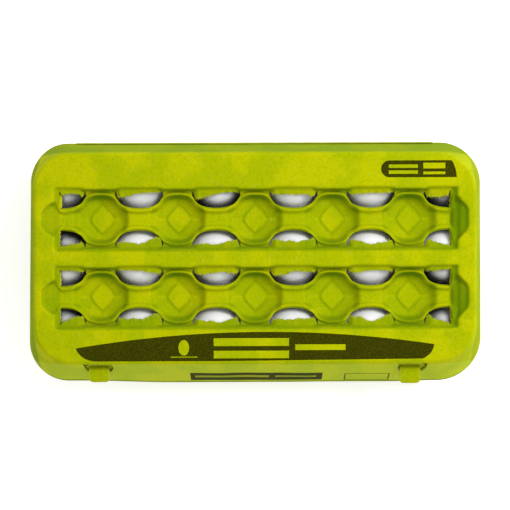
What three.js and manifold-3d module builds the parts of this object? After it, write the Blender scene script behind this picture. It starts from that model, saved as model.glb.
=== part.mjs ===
// Moulded pulp egg carton: a hinged lid with two window channels, a cup tray and eighteen eggs.
// Millimetres, +Z up. X runs along the carton, the hinge is at +Y and the lock flap at -Y.
import * as THREE from "three";
import { mergeVertices } from "three/addons/utils/BufferGeometryUtils.js";
import Module from "manifold-3d";

// Egg layout
const COLUMNS = 6;
const ROWS = 3;
const PITCH_X = 49.6;
const PITCH_Y = 50;
const EGG_RADIUS = 21.3;
const EGG_HEIGHT = 57.5;
const EGG_BASE_Z = 8;
const EGG_TAPER = 0.13;

// Carton envelope
const PULP = 2;
const RIM_Z = 36;
const LID_TOP_Z = 70;
const HALF_LENGTH = 150;
const REAR_Y = 76.7;
const FRONT_Y = -82.7;
const TOP_HALF_LENGTH = 141;
const TOP_HALF_WIDTH = 66.9;
const REAR_CORNER = 21;
const FRONT_CORNER = 26;
const CLEARANCE = 0.3;

// Tray
const POST_TOP_Z = 48.4;
const POST_HALF_TOP = 7;
const SADDLE_Z = 30;
const CUP_EDGE = 22;
const CUP_SIDES = 16;
const FIELD_WALL = 2.2;
const RIM_UNDERCUT = 1.5;
const RIM_CORNER_CUT = 6.3;
const CORNER_STEPS = 5;

// Lid channels
const CHANNEL_Y = 25;
const CREASE = 19.5;
const PIT_DEPTH = 19;

// Lock flap and its tabs
const FLAP_LENGTH = 236;
const FLAP_TOP_Z = 61;
const FLAP_THICKNESS = 1.7;
const FLAP_GAP = 0.45;
const TAB_X = 101;
const TAB_WIDTH = 12;
const TAB_ROOT_Z = 58.4;
const TAB_FOLD_Y = -70.4;
const TAB_TIP_Y = -82.2;
const TAB_TIP_Z = 57;
const HOLE_WIDTH = 17;
const HOLE_LOW_Z = 52.5;
const HOLE_HIGH_Z = 65.5;

// The middle row of eggs stands behind the middle of the carton's footprint.
const FOOTPRINT_SHIFT_Y = -(REAR_Y + FRONT_Y) / 2;

const wasm = await Module();
wasm.setup();

const pulpMaterial = () =>
  new THREE.MeshStandardMaterial({ color: 0x9db00a, roughness: 0.92, metalness: 0 });
const shellMaterial = () =>
  new THREE.MeshStandardMaterial({ color: 0xf3f1ec, roughness: 0.5, metalness: 0 });

const carton = new THREE.Group();
carton.position.y = FOOTPRINT_SHIFT_Y;

function addMesh(name, geometry, material) {
  const mesh = new THREE.Mesh(geometry, material);
  mesh.name = name;
  carton.add(mesh);
  return mesh;
}

// ---- Sheets: a list of points and triangles seen from above, closed into a shell ----

class Sheet {
  constructor() {
    this.points = [];
    this.triangles = [];
    this.keys = new Map();
  }

  // The number of a point, the same one for the same place.
  point(x, y, z) {
    const key = [x, y, z].map((v) => Math.round(v * 1000)).join(" ");
    if (!this.keys.has(key)) {
      this.keys.set(key, this.points.length);
      this.points.push(new THREE.Vector3(x, y, z));
    }
    return this.keys.get(key);
  }

  // A triangle turned so that it faces up, or out from the middle if it is upright.
  triangle(a, b, c) {
    if (a === b || b === c || a === c) return;
    const [p, q, r] = [a, b, c].map((i) => this.points[i]);
    const turned = (q.x - p.x) * (r.y - p.y) - (q.y - p.y) * (r.x - p.x) < 0;
    this.triangles.push(turned ? [a, c, b] : [a, b, c]);
  }

  // Joins two closed rings of points that run round the same centre, by the shorter diagonal.
  stitch(inner, outer, centre) {
    const byAngle = (ring) => {
      const angle = (i) => {
        const p = this.points[i];
        return Math.atan2(p.y - centre[1], p.x - centre[0]);
      };
      return [...ring].sort((one, two) => angle(one) - angle(two));
    };
    const low = byAngle(inner);
    let high = byAngle(outer);
    const length = (i, j) => {
      const [p, q] = [this.points[i], this.points[j]];
      return Math.hypot(p.x - q.x, p.y - q.y);
    };
    const nearest = high.reduce((best, i) => (length(low[0], i) < length(low[0], best) ? i : best));
    const start = high.indexOf(nearest);
    high = [...high.slice(start), ...high.slice(0, start)];
    let a = 0;
    let b = 0;
    while (a < low.length || b < high.length) {
      const here = low[a % low.length];
      const there = high[b % high.length];
      const nextLow = low[(a + 1) % low.length];
      const nextHigh = high[(b + 1) % high.length];
      const lowIsShorter = length(nextLow, there) <= length(here, nextHigh) + 1e-6;
      if (b >= high.length || (a < low.length && lowIsShorter)) {
        this.triangle(here, there, nextLow);
        a += 1;
      } else {
        this.triangle(here, there, nextHigh);
        b += 1;
      }
    }
  }

  // Points moved down along the averaged normals, except on the lower edge, which moves level.
  offset(thickness, levelBelow) {
    const normals = this.points.map(() => new THREE.Vector3());
    for (const [a, b, c] of this.triangles) {
      const p = this.points[a];
      const u = this.points[b].clone().sub(p);
      const v = this.points[c].clone().sub(p);
      const n = u.cross(v);
      for (const i of [a, b, c]) normals[i].add(n);
    }
    return this.points.map((p, i) => {
      const n = normals[i].normalize();
      if (p.z < levelBelow) {
        const flat = new THREE.Vector3(n.x, n.y, 0).normalize();
        return p.clone().addScaledVector(flat, -thickness * 1.05);
      }
      return p.clone().addScaledVector(n, -thickness);
    });
  }

  // One closed body between these points and the given lower ones.
  close(lower) {
    const count = this.points.length;
    const index = [];
    const edges = new Map();
    for (const [a, b, c] of this.triangles) {
      index.push(a, b, c, a + count, c + count, b + count);
      for (const [from, to] of [[a, b], [b, c], [c, a]]) {
        if (edges.has(to + " " + from)) edges.delete(to + " " + from);
        else edges.set(from + " " + to, [from, to]);
      }
    }
    for (const [from, to] of edges.values()) {
      index.push(from, from + count, to);
      index.push(to, from + count, to + count);
    }
    const all = [...this.points, ...lower];
    const geometry = new THREE.BufferGeometry().setFromPoints(all);
    geometry.setIndex(index);
    return geometry;
  }
}

// Points round an outline with four rounded corners, anticlockwise from the front right.
function outline(sheet, halfLength, front, rear, frontCorner, rearCorner, z, steps) {
  const ring = [];
  const corners = [
    [halfLength - frontCorner, front + frontCorner, frontCorner, -90],
    [halfLength - rearCorner, rear - rearCorner, rearCorner, 0],
    [-halfLength + rearCorner, rear - rearCorner, rearCorner, 90],
    [-halfLength + frontCorner, front + frontCorner, frontCorner, 180],
  ];
  for (const [x, y, radius, start] of corners) {
    for (let k = 0; k <= steps; k++) {
      const angle = THREE.MathUtils.degToRad(start + (90 * k) / steps);
      ring.push(sheet.point(x + radius * Math.cos(angle), y + radius * Math.sin(angle), z));
    }
  }
  return ring;
}

// ---- Lid ----

// Sections across half a channel, from a post (distance 24.8 from the egg column) to the column.
// Each has offsets from the channel's middle line and depths below the lid's top.
const SECTIONS = [
  { from: 24.8, offsets: [0, 8.45, 16.2, 17.8], depths: [PIT_DEPTH, PIT_DEPTH, 5.9, 6.9] },
  { from: 17.05, offsets: [0, 7.2, 15.9, 17.5], depths: [PIT_DEPTH, 14.5, 5.2, 4.6] },
  { from: 15.5, offsets: [0, 6.4, 15.2, 16.8], depths: [17.2, 13.8, 5.2, 4] },
  { from: 12, offsets: [0, 4.8, 10.4, 17.3], depths: [13, 11.6, 5.8, 3.2] },
  { from: 7, offsets: [0, 2.9, 7.1, 17.4], depths: [7.5, 7.5, 6.2, 3] },
  { from: 0, offsets: [0, 2.9, 7.1, 17.4], depths: [7.5, 7.5, 6.2, 3] },
];
// Sections past the last egg column: the channel's end wall and the stepped end notch.
const END_SECTIONS = [
  { past: 1.4, offsets: [0, 2.9, 7.1, 17.4], depths: [7.5, 7.5, 6.2, 3] },
  { past: 3.8, offsets: [0, 5, 11.4, 15], depths: [5.2, 5.2, 0, 0] },
  { past: 7.5, offsets: [0, 4.8, 10.2, 15], depths: [2.6, 2.6, 0, 0] },
  { past: 13, offsets: [0, 3, 6.2, 15], depths: [0, 0, 0, 0] },
];

// Every section along the lid, left to right, with the side that its window lies on.
function lidSections() {
  const outer = ((COLUMNS - 1) / 2) * PITCH_X;
  const list = [];
  for (const end of END_SECTIONS) {
    list.push({ ...end, x: -outer - end.past, kind: "end" });
    list.push({ ...end, x: outer + end.past, kind: "end" });
  }
  for (let column = 0; column < COLUMNS; column++) {
    const middle = (column - (COLUMNS - 1) / 2) * PITCH_X;
    for (const side of [-1, 1]) {
      const pastEnd = Math.abs(middle + side * 10) > outer;
      for (const section of SECTIONS) {
        if (pastEnd || (section.from === 0 && side > 0)) continue;
        if (section.from === 24.8 && side > 0 && column < COLUMNS - 1) continue;
        list.push({ ...section, x: middle + side * section.from, kind: "span" });
      }
    }
  }
  const last = SECTIONS[SECTIONS.length - 1];
  if (!list.some((s) => Math.abs(s.x - outer) < 0.01)) {
    list.push({ ...last, x: outer, kind: "span" });
  }
  if (!list.some((s) => Math.abs(s.x + outer) < 0.01)) {
    list.push({ ...last, x: -outer, kind: "span" });
  }
  return list.sort((one, two) => one.x - two.x);
}

// Is there a window between two neighbouring sections?
function isWindow(one, two) {
  const middle = (one.x + two.x) / 2;
  const outer = ((COLUMNS - 1) / 2) * PITCH_X;
  if (Math.abs(middle) > outer + 1.4) return false;
  const column = Math.round(middle / PITCH_X + (COLUMNS - 1) / 2);
  const nearest = (column - (COLUMNS - 1) / 2) * PITCH_X;
  return Math.abs(middle - nearest) < 15.5;
}

function buildLid() {
  const sheet = new Sheet();
  const sections = lidSections();
  const grid = sections.map((section) => {
    const rows = [];
    for (const channel of [-CHANNEL_Y, CHANNEL_Y]) {
      for (let k = -4; k <= 4; k++) {
        const level = Math.abs(k);
        const offset = level === 4 ? CREASE : section.offsets[level];
        const depth = level === 4 ? 0 : section.depths[level];
        rows.push(sheet.point(section.x, channel + Math.sign(k) * offset, LID_TOP_Z - depth));
      }
    }
    return rows;
  });
  const rowCount = grid[0].length;
  for (let i = 0; i + 1 < grid.length; i++) {
    const opens = isWindow(sections[i], sections[i + 1]);
    const deeperRight = sections[i + 1].depths[1] > sections[i].depths[1];
    for (let j = 0; j + 1 < rowCount; j++) {
      const inChannel = j % 9 !== 8;
      const strip = j % 9;
      if (opens && inChannel && (strip === 1 || strip === 6)) continue;
      const nearSide = strip < 4;
      const [a, b, c, d] = [grid[i][j], grid[i + 1][j], grid[i + 1][j + 1], grid[i][j + 1]];
      // The diagonal follows the pit's diamond.
      if (nearSide === deeperRight) {
        sheet.triangle(a, b, d);
        sheet.triangle(b, c, d);
      } else {
        sheet.triangle(a, b, c);
        sheet.triangle(a, c, d);
      }
    }
  }
  const edge = [
    ...grid.map((rows) => rows[0]),
    ...grid[grid.length - 1].slice(1),
    ...grid.slice(0, -1).map((rows) => rows[rowCount - 1]),
    ...grid[0].slice(1, -1),
  ];
  const wallSlope = (HALF_LENGTH - TOP_HALF_LENGTH) / (LID_TOP_Z - RIM_Z);
  const rearSlope = (REAR_Y - TOP_HALF_WIDTH) / (LID_TOP_Z - RIM_Z);
  const frontSlope = (-FRONT_Y - TOP_HALF_WIDTH) / (LID_TOP_Z - RIM_Z);
  // Drop below the top, and how far the ring stands inside the sloped wall's line.
  const rings = [
    [0, 1.9, -5],
    [0.7, 0.4, -3],
    [2.3, 0, -2],
    [LID_TOP_Z - RIM_Z - CLEARANCE, 0, 0],
  ];
  let previous = null;
  for (const [drop, inset, corner] of rings) {
    const ring = outline(
      sheet,
      TOP_HALF_LENGTH + drop * wallSlope - inset,
      -TOP_HALF_WIDTH - drop * frontSlope + inset,
      TOP_HALF_WIDTH + drop * rearSlope - inset,
      FRONT_CORNER + corner,
      REAR_CORNER + corner,
      LID_TOP_Z - drop,
      CORNER_STEPS,
    );
    if (previous === null) {
      sheet.stitch(edge, ring, [0, 0]);
    } else {
      for (let k = 0; k < ring.length; k++) {
        const next = (k + 1) % ring.length;
        sheet.triangle(previous[k], ring[k], ring[next]);
        sheet.triangle(previous[k], ring[next], previous[next]);
      }
    }
    previous = ring;
  }
  const shell = sheet.close(sheet.offset(PULP, RIM_Z + 1));
  return cutLockHoles(shell);
}

// ---- Booleans ----

function solidOf(geometry) {
  const bare = geometry.clone();
  bare.deleteAttribute("normal");
  bare.deleteAttribute("uv");
  const merged = mergeVertices(bare, 1e-4);
  return new wasm.Manifold(
    new wasm.Mesh({
      numProp: 3,
      vertProperties: merged.attributes.position.array,
      triVerts: new Uint32Array(merged.index.array),
    }),
  );
}

function geometryOf(solid) {
  const mesh = solid.getMesh();
  const geometry = new THREE.BufferGeometry();
  geometry.setAttribute("position", new THREE.BufferAttribute(mesh.vertProperties, 3));
  geometry.setIndex(new THREE.BufferAttribute(mesh.triVerts, 1));
  return geometry;
}

function cutLockHoles(shell) {
  let solid = solidOf(shell);
  for (const side of [-1, 1]) {
    const hole = new THREE.BoxGeometry(HOLE_WIDTH, 26, HOLE_HIGH_Z - HOLE_LOW_Z);
    hole.translate(side * TAB_X, -77, (HOLE_HIGH_Z + HOLE_LOW_Z) / 2);
    solid = solid.subtract(solidOf(hole));
  }
  return geometryOf(solid);
}

// ---- Tray ----

// Radius and height of the cup's inner face and of its outer face, from the flat bottom up.
const CUP_RINGS = [
  { inner: [9.5, PULP], outer: [10.6, 0] },
  { inner: [14.6, 14.5], outer: [16.4, 13.4] },
  { inner: [20.4, 27], outer: [22, 25.2] },
];

function buildTray() {
  const sheet = new Sheet();
  const lower = new Map();
  const rimLine = new Map();
  const put = (x, y, z, below) => {
    const i = sheet.point(x, y, z);
    lower.set(i, new THREE.Vector3(...below));
    return i;
  };
  for (let column = 0; column < COLUMNS; column++) {
    for (let row = 0; row < ROWS; row++) {
      const cx = (column - (COLUMNS - 1) / 2) * PITCH_X;
      const cy = (row - (ROWS - 1) / 2) * PITCH_Y;
      const atRight = column === COLUMNS - 1;
      const atLeft = column === 0;
      const atRear = row === ROWS - 1;
      const atFront = row === 0;
      const rings = CUP_RINGS.map(({ inner, outer }) => {
        const ring = [];
        for (let k = 0; k < CUP_SIDES; k++) {
          const angle = (2 * Math.PI * k) / CUP_SIDES;
          const [c, s] = [Math.cos(angle), Math.sin(angle)];
          const below = [cx + outer[0] * c, cy + outer[0] * s, outer[1]];
          ring.push(put(cx + inner[0] * c, cy + inner[0] * s, inner[1], below));
        }
        return ring;
      });
      for (let k = 1; k + 1 < CUP_SIDES; k++) {
        sheet.triangle(rings[0][0], rings[0][k], rings[0][k + 1]);
      }
      sheet.stitch(rings[0], rings[1], [cx, cy]);
      sheet.stitch(rings[1], rings[2], [cx, cy]);
      const border = cupBorder({ cx, cy, atRight, atLeft, atRear, atFront }, put, rimLine, sheet);
      sheet.stitch(rings[2], border, [cx, cy]);
    }
  }
  const rim = outline(
    sheet, HALF_LENGTH, FRONT_Y, REAR_Y, FRONT_CORNER, REAR_CORNER, RIM_Z, CORNER_STEPS,
  );
  for (const i of rim) {
    const p = sheet.points[i];
    lower.set(i, new THREE.Vector3(p.x, p.y, p.z - PULP));
  }
  sheet.stitch([...rimLine.values()], rim, [0, 0]);
  return sheet.close(sheet.points.map((_, i) => lower.get(i)));
}

// The border of one cup's field: saddles to its neighbours, post tops and the rim's inner line.
function cupBorder(cup, put, rimLine, sheet) {
  const { cx, cy, atRight, atLeft, atRear, atFront } = cup;
  const reach = {
    right: atRight ? CUP_EDGE : PITCH_X / 2,
    left: atLeft ? CUP_EDGE : PITCH_X / 2,
    rear: atRear ? CUP_EDGE : PITCH_Y / 2,
    front: atFront ? CUP_EDGE : PITCH_Y / 2,
  };
  const border = [];
  // One side of the field: its two ends, each with a post or the rim beyond it.
  const sides = [
    { axis: "y", sign: 1, along: "right", across: ["front", "rear"], rim: atRight },
    { axis: "y", sign: -1, along: "left", across: ["front", "rear"], rim: atLeft },
    { axis: "x", sign: 1, along: "rear", across: ["left", "right"], rim: atRear },
    { axis: "x", sign: -1, along: "front", across: ["left", "right"], rim: atFront },
  ];
  const rimSides = { right: atRight, left: atLeft, rear: atRear, front: atFront };
  for (const side of sides) {
    const far = side.sign * reach[side.along];
    const stops = [
      [-1, reach[side.across[0]], rimSides[side.across[0]]],
      [0, 0, false],
      [1, reach[side.across[1]], rimSides[side.across[1]]],
    ];
    for (const [direction, length, endAtRim] of stops) {
      const shoulder = direction * (length - POST_HALF_TOP);
      const [x, y] = side.axis === "y" ? [cx + far, cy + shoulder] : [cx + shoulder, cy + far];
      if (side.rim) {
        const out = side.sign * RIM_UNDERCUT;
        const below = side.axis === "y" ? [x + out, y, RIM_Z - PULP] : [x, y + out, RIM_Z - PULP];
        const i = put(x, y, RIM_Z, below);
        border.push(i);
        rimLine.set(x.toFixed(3) + " " + y.toFixed(3), i);
        continue;
      }
      let z = SADDLE_Z;
      if (direction !== 0) z = endAtRim ? RIM_Z - 2 : POST_TOP_Z;
      const pull = endAtRim ? 0 : direction;
      const under = z - FIELD_WALL;
      const below = side.axis === "y" ? [x, y + pull, under] : [x + pull, y, under];
      border.push(put(x, y, z, below));
    }
  }
  for (const [sx, alongX] of [[-1, "left"], [1, "right"]]) {
    for (const [sy, alongY] of [[-1, "front"], [1, "rear"]]) {
      const rimX = rimSides[alongX];
      const rimY = rimSides[alongY];
      let x = cx + sx * reach[alongX];
      let y = cy + sy * reach[alongY];
      if (rimX && rimY) {
        x -= sx * RIM_CORNER_CUT;
        y -= sy * RIM_CORNER_CUT;
        const i = put(x, y, RIM_Z, [x + sx, y + sy, RIM_Z - PULP]);
        border.push(i);
        rimLine.set(x.toFixed(3) + " " + y.toFixed(3), i);
      } else if (rimX || rimY) {
        const outX = rimX ? sx * RIM_UNDERCUT : 0;
        const outY = rimY ? sy * RIM_UNDERCUT : 0;
        const i = put(x, y, RIM_Z, [x + outX, y + outY, RIM_Z - PULP]);
        border.push(i);
        rimLine.set(x.toFixed(3) + " " + y.toFixed(3), i);
      } else {
        const corner = put(x, y, POST_TOP_Z, [x, y, POST_TOP_Z - FIELD_WALL]);
        const one = sheet.point(x - sx * POST_HALF_TOP, y, POST_TOP_Z);
        const two = sheet.point(x, y - sy * POST_HALF_TOP, POST_TOP_Z);
        sheet.triangle(corner, one, two);
      }
    }
  }
  return border;
}

// ---- Lock flap with its two tabs ----

// Distance of the lid's inner front face from the middle at a height, with the wall's slope.
function frontWallInside(z) {
  const slope = (-FRONT_Y - TOP_HALF_WIDTH) / (LID_TOP_Z - RIM_Z);
  return FRONT_Y + (z - RIM_Z) * slope + PULP * 1.1;
}

function buildLockFlap() {
  const low = RIM_Z + CLEARANCE;
  const outside = (z) => frontWallInside(z) + FLAP_GAP;
  const wall = new THREE.Shape();
  wall.moveTo(outside(low), low);
  wall.lineTo(outside(low) + FLAP_THICKNESS, low);
  wall.lineTo(outside(FLAP_TOP_Z) + FLAP_THICKNESS, FLAP_TOP_Z);
  wall.lineTo(outside(FLAP_TOP_Z), FLAP_TOP_Z);
  wall.closePath();
  let solid = solidOf(placeAlongX(wall, -FLAP_LENGTH / 2, FLAP_LENGTH));
  // A tab leaves the flap level, passes the lid's hole and slopes down to its tip.
  const rootY = outside(TAB_ROOT_Z) + FLAP_THICKNESS * 0.8;
  const tab = new THREE.Shape();
  tab.moveTo(rootY, TAB_ROOT_Z);
  tab.lineTo(rootY, FLAP_TOP_Z);
  tab.lineTo(TAB_FOLD_Y, FLAP_TOP_Z);
  tab.lineTo(TAB_FOLD_Y - 2, FLAP_TOP_Z - 1.4);
  tab.lineTo(TAB_TIP_Y, TAB_TIP_Z);
  tab.lineTo(TAB_TIP_Y, TAB_TIP_Z - FLAP_THICKNESS);
  tab.lineTo(TAB_FOLD_Y - 3, TAB_ROOT_Z - 1);
  tab.closePath();
  for (const side of [-1, 1]) {
    solid = solid.add(solidOf(placeAlongX(tab, side * TAB_X - TAB_WIDTH / 2, TAB_WIDTH)));
  }
  return geometryOf(solid);
}

// An extrusion of a Y-Z section along X.
function placeAlongX(shape, start, length) {
  const geometry = new THREE.ExtrudeGeometry(shape, { depth: length, bevelEnabled: false });
  const turn = new THREE.Matrix4().set(0, 0, 1, start, 1, 0, 0, 0, 0, 1, 0, 0, 0, 0, 0, 1);
  return geometry.applyMatrix4(turn);
}

// ---- Eggs ----

function buildEgg(radius, height) {
  const steps = 8;
  const profile = [];
  for (let k = 0; k <= steps; k++) {
    const angle = (Math.PI * k) / steps;
    const cosine = Math.cos(angle);
    const taper = 1 - EGG_TAPER * cosine;
    const r = k === 0 || k === steps ? 0 : radius * Math.sin(angle) * taper;
    profile.push(new THREE.Vector2(r, (height / 2) * (1 - cosine)));
  }
  const egg = new THREE.LatheGeometry(profile, 12);
  egg.rotateX(Math.PI / 2);
  return egg;
}

addMesh("tray", buildTray(), pulpMaterial());
addMesh("lock_flap", buildLockFlap(), pulpMaterial());
addMesh("lid", buildLid(), pulpMaterial());

for (let row = 0; row < ROWS; row++) {
  for (let column = 0; column < COLUMNS; column++) {
    const wobble = Math.sin(12.9898 * (row + 1) + 78.233 * (column + 1));
    const radius = EGG_RADIUS - 0.2 - 0.2 * wobble;
    const height = EGG_HEIGHT - 0.6 - 0.6 * Math.cos(5 * wobble + row);
    const egg = addMesh("egg_" + "abc"[row] + (column + 1), buildEgg(radius, height), shellMaterial());
    const x = (column - (COLUMNS - 1) / 2) * PITCH_X;
    const y = ((ROWS - 1) / 2 - row) * PITCH_Y;
    egg.position.set(x, y, EGG_BASE_Z);
    egg.rotation.z = wobble * Math.PI;
  }
}

export default carton;
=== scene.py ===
# %% [markdown]
# # A moulded pulp egg carton with eighteen eggs
#
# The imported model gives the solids, their bodies and the lid's hinge. It is loaded first, as a fixed
# frame: every piece made below is put where that frame says, and none of its parts is moved.

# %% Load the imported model
import math

import bpy
import numpy as np
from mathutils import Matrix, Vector


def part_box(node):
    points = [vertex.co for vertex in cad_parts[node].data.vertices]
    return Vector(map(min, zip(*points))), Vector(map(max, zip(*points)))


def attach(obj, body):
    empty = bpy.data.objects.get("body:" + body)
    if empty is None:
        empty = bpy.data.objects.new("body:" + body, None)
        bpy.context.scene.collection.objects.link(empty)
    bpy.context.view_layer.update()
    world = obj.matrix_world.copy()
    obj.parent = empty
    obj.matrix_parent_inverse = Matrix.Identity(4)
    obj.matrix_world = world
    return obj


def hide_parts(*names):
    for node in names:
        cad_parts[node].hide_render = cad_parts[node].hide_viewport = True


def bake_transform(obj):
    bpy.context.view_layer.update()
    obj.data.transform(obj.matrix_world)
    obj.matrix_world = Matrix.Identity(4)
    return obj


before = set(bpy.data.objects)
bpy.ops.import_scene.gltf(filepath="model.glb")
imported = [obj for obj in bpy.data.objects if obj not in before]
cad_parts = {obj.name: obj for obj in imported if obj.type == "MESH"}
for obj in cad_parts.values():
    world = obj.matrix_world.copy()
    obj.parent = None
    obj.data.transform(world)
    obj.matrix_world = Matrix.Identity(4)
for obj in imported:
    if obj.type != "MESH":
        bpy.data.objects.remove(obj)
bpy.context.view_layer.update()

# %% [markdown]
# ## Sizes
#
# A carton is drawn round its eggs, so all places here are millimetres from the middle egg, and a
# mesh is turned into metres once, when it is made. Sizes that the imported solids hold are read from
# them. The others are a carton maker's own sizes: how deep a post is, how wide a window is.

# %% Read the driving sizes from the solids
MM = 0.001
ROW_NAMES = "abc"
COLUMN_COUNT = 6


def box_mm(node):
    low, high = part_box(node)
    return np.array(low) / MM, np.array(high) / MM


def egg_middle(row, column):
    low, high = box_mm(f"egg_{row}{column}")
    return (low + high) / 2


ORIGIN_Y = egg_middle("b", 1)[1]
PITCH_X = egg_middle("b", 2)[0] - egg_middle("b", 1)[0]
PITCH_Y = egg_middle("a", 1)[1] - ORIGIN_Y
COLUMN_X = [egg_middle("b", n + 1)[0] for n in range(COLUMN_COUNT)]
OUTER_COLUMN = COLUMN_X[-1]
HALF_PITCH = PITCH_X / 2
LAST_POST = COLUMN_COUNT // 2 - 1
LID_CLEARANCE = 0.3
TOP_BELOW_BOX = 0.15
LID_TOP = box_mm("lid")[1][2] - TOP_BELOW_BOX
RIM = box_mm("lid")[0][2] - LID_CLEARANCE
HALF_LENGTH = box_mm("tray")[1][0]
REAR = box_mm("tray")[1][1] - ORIGIN_Y
FRONT = box_mm("tray")[0][1] - ORIGIN_Y
print(f"pitch {PITCH_X:.1f} x {PITCH_Y:.1f} mm, rim {HALF_LENGTH * 2:.0f} x {REAR - FRONT:.1f} mm")

# %% Sizes of the lid
TOP_HALF_LENGTH = 141
TOP_HALF_WIDTH = 66.9
FRONT_CORNER = 27
REAR_CORNER = 25
PULP_WALL = 1.9
CHANNEL_Y = PITCH_Y / 2
CREASE = 21.6
CREASE_ROUND = 1.0
WINDOW_REACH = 15.5
WINDOW_END = OUTER_COLUMN + 1.5
WINDOW_OUTER = 17.9
BEAD_HEIGHT = 2.4
BEAD_OUTSIDE = 1.3
BEAD_INSIDE = (1.8, 4.6)
BEAD_AT_EDGE = 0.3
BAR_DEPTH = 8.2
PIT_DEPTH = 15.5
PIT_HALF = (17.8, 15.5)
PIT_FALL = 26
PIT_SQUARENESS = 2.2
PIT_SOFTNESS = 0.8
DIAMOND_HALF = (7.7, 9.1)
FACE_FALL = 2.2
STRIP_DEPTH = 2.8
POST_STRIP_DEPTH = 5.6
POST_STRIP_RANGE = (11.2, 16.2)
RISER_START = 18.3
RISER_END = 20.8
EDGE_STEP = 0.45
EDGE_REACH = 9
print(f"channels {2 * CREASE:.1f} mm wide, pits {PIT_DEPTH} mm deep")

# %% [markdown]
# ## Helpers for curved sheets
#
# Pulp is one sheet sucked onto a mould, so every green piece here is a skin of four-sided faces
# that is given a second skin a wall's thickness below it. Arrays hold all points of a skin at once,
# which is far quicker than moving single vertices.

# %% Smooth steps, rounded tables and seeded unevenness
TABLE_STEP = 0.05
WAVES = 9


def smooth(low, high, value):
    part = np.clip((value - low) / (high - low), 0, 1)
    return part * part * (3 - 2 * part)


def rounded_table(stops, reach):
    """A function through (place, value) stops, with its corners rounded over a reach."""
    places, values = zip(*stops)
    fine = np.arange(places[0] - 3 * reach, places[-1] + 3 * reach, TABLE_STEP)
    weights = np.hanning(int(2 * reach / TABLE_STEP) + 3)
    soft = np.convolve(np.interp(fine, places, values), weights / weights.sum(), mode="same")
    edge = int(reach / TABLE_STEP) + 2
    return lambda place: np.interp(place, fine[edge:-edge], soft[edge:-edge])


def unevenness(x, y, size, seed):
    """A seeded sum of waves of about this size, mostly between -1 and 1."""
    draw = np.random.default_rng(seed)
    total = np.zeros(np.broadcast(x, y).shape)
    for _ in range(WAVES):
        turn, phase = draw.uniform(0, 2 * np.pi, 2)
        rate = 2 * np.pi / (size * draw.uniform(0.6, 1.7))
        total = total + np.sin(rate * (x * np.cos(turn) + y * np.sin(turn)) + phase)
    return total / (0.5 * WAVES)


def soften(height, passes):
    """Evens out a grid of heights with its neighbours."""
    for _ in range(passes):
        wide = np.pad(height, 1, mode="edge")
        across = (wide[:-2] + 2 * wide[1:-1] + wide[2:]) / 4
        height = (across[:, :-2] + 2 * across[:, 1:-1] + across[:, 2:]) / 4
    return height


def soft_least(one, other, soft):
    """The lower of two heights, rounded where they cross."""
    near = np.clip(0.5 + (other - one) / (2 * soft), 0, 1)
    return one * near + other * (1 - near) - soft * near * (1 - near)


# %% Turn points and faces into a mesh object
SHARP_ANGLE = math.radians(48)
MARKS = ("torn_edge", "steep", "sunk", "inside")


def add_to_scene(name, data):
    thing = bpy.data.objects.new(name, data)
    bpy.context.scene.collection.objects.link(thing)
    return thing


def make_piece(name, shape, finish):
    """A mesh object from points in millimetres from the middle egg, faces, and values of marks."""
    points, faces, marks = shape
    points = (np.array(points, float) + (0, ORIGIN_Y, 0)) * MM
    mesh = bpy.data.meshes.new(name)
    mesh.from_pydata(points.tolist(), [], [list(map(int, face)) for face in faces])
    mesh.validate()
    mesh.polygons.foreach_set("use_smooth", [True] * len(mesh.polygons))
    mesh.set_sharp_from_angle(angle=SHARP_ANGLE)
    mesh.materials.append(finish)
    for mark in MARKS:
        layer = mesh.attributes.new(mark, "FLOAT", "POINT")
        layer.data.foreach_set("value", np.array(marks.get(mark, np.zeros(len(points))), float))
    print(f"{name}: {len(points)} points, {sum(len(face) - 2 for face in faces)} triangles")
    return add_to_scene(name, mesh)


# %% Give a skin its thickness
def skin_normals(points, quads):
    cross = np.cross(points[quads[:, 2]] - points[quads[:, 0]], points[quads[:, 3]] - points[quads[:, 1]])
    total = np.zeros_like(points)
    for corner in range(4):
        np.add.at(total, quads[:, corner], cross)
    total[:, 2] = np.maximum(total[:, 2], 0)
    length = np.linalg.norm(total, axis=1, keepdims=True)
    return total / np.maximum(length, 1e-9)


def open_edges(quads, count):
    """Directed edges that only one face has."""
    pairs = np.concatenate([quads[:, [corner, (corner + 1) % 4]] for corner in range(4)])
    there = pairs[:, 0] * count + pairs[:, 1]
    back = pairs[:, 1] * count + pairs[:, 0]
    return pairs[~np.isin(there, back)]


def close_skin(upper, quads, lower, frayed=1.0, **marks):
    """Points, faces and marks of the closed body between an upper skin and its lower copy."""
    count = len(upper)
    rims = open_edges(quads, count)
    sides = np.stack([rims[:, 0], rims[:, 0] + count, rims[:, 1] + count, rims[:, 1]], axis=1)
    faces = np.concatenate([quads, quads[:, ::-1] + count, sides])
    used = np.unique(faces)
    closed = {"torn_edge": np.tile(np.isin(np.arange(count), rims) * frayed, 2)[used]}
    # Every lower skin gets the inside mark in full, which paints shade on it, and no other mark.
    for mark in MARKS[1:]:
        lower_marks = np.full(count, float(mark == "inside"))
        closed[mark] = np.concatenate([marks.get(mark, np.zeros(count)), lower_marks])[used]
    return np.concatenate([upper, lower])[used], np.searchsorted(used, faces), closed


def join_parts(parts):
    """One list of points and faces, and one of each mark, from several closed parts."""
    points, faces, marks = zip(*parts)
    starts = np.cumsum([0] + [len(part) for part in points])
    faces = np.concatenate([part + start for part, start in zip(faces, starts)])
    return np.concatenate(points), faces, {mark: np.concatenate([m[mark] for m in marks]) for mark in MARKS}


# %% Grids and sheets
def points_at(x, y, z):
    """Points of a loop or a sheet, from coordinates that may be one number for a row or for all."""
    return np.stack(np.broadcast_arrays(x, y, z), axis=-1)


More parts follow.
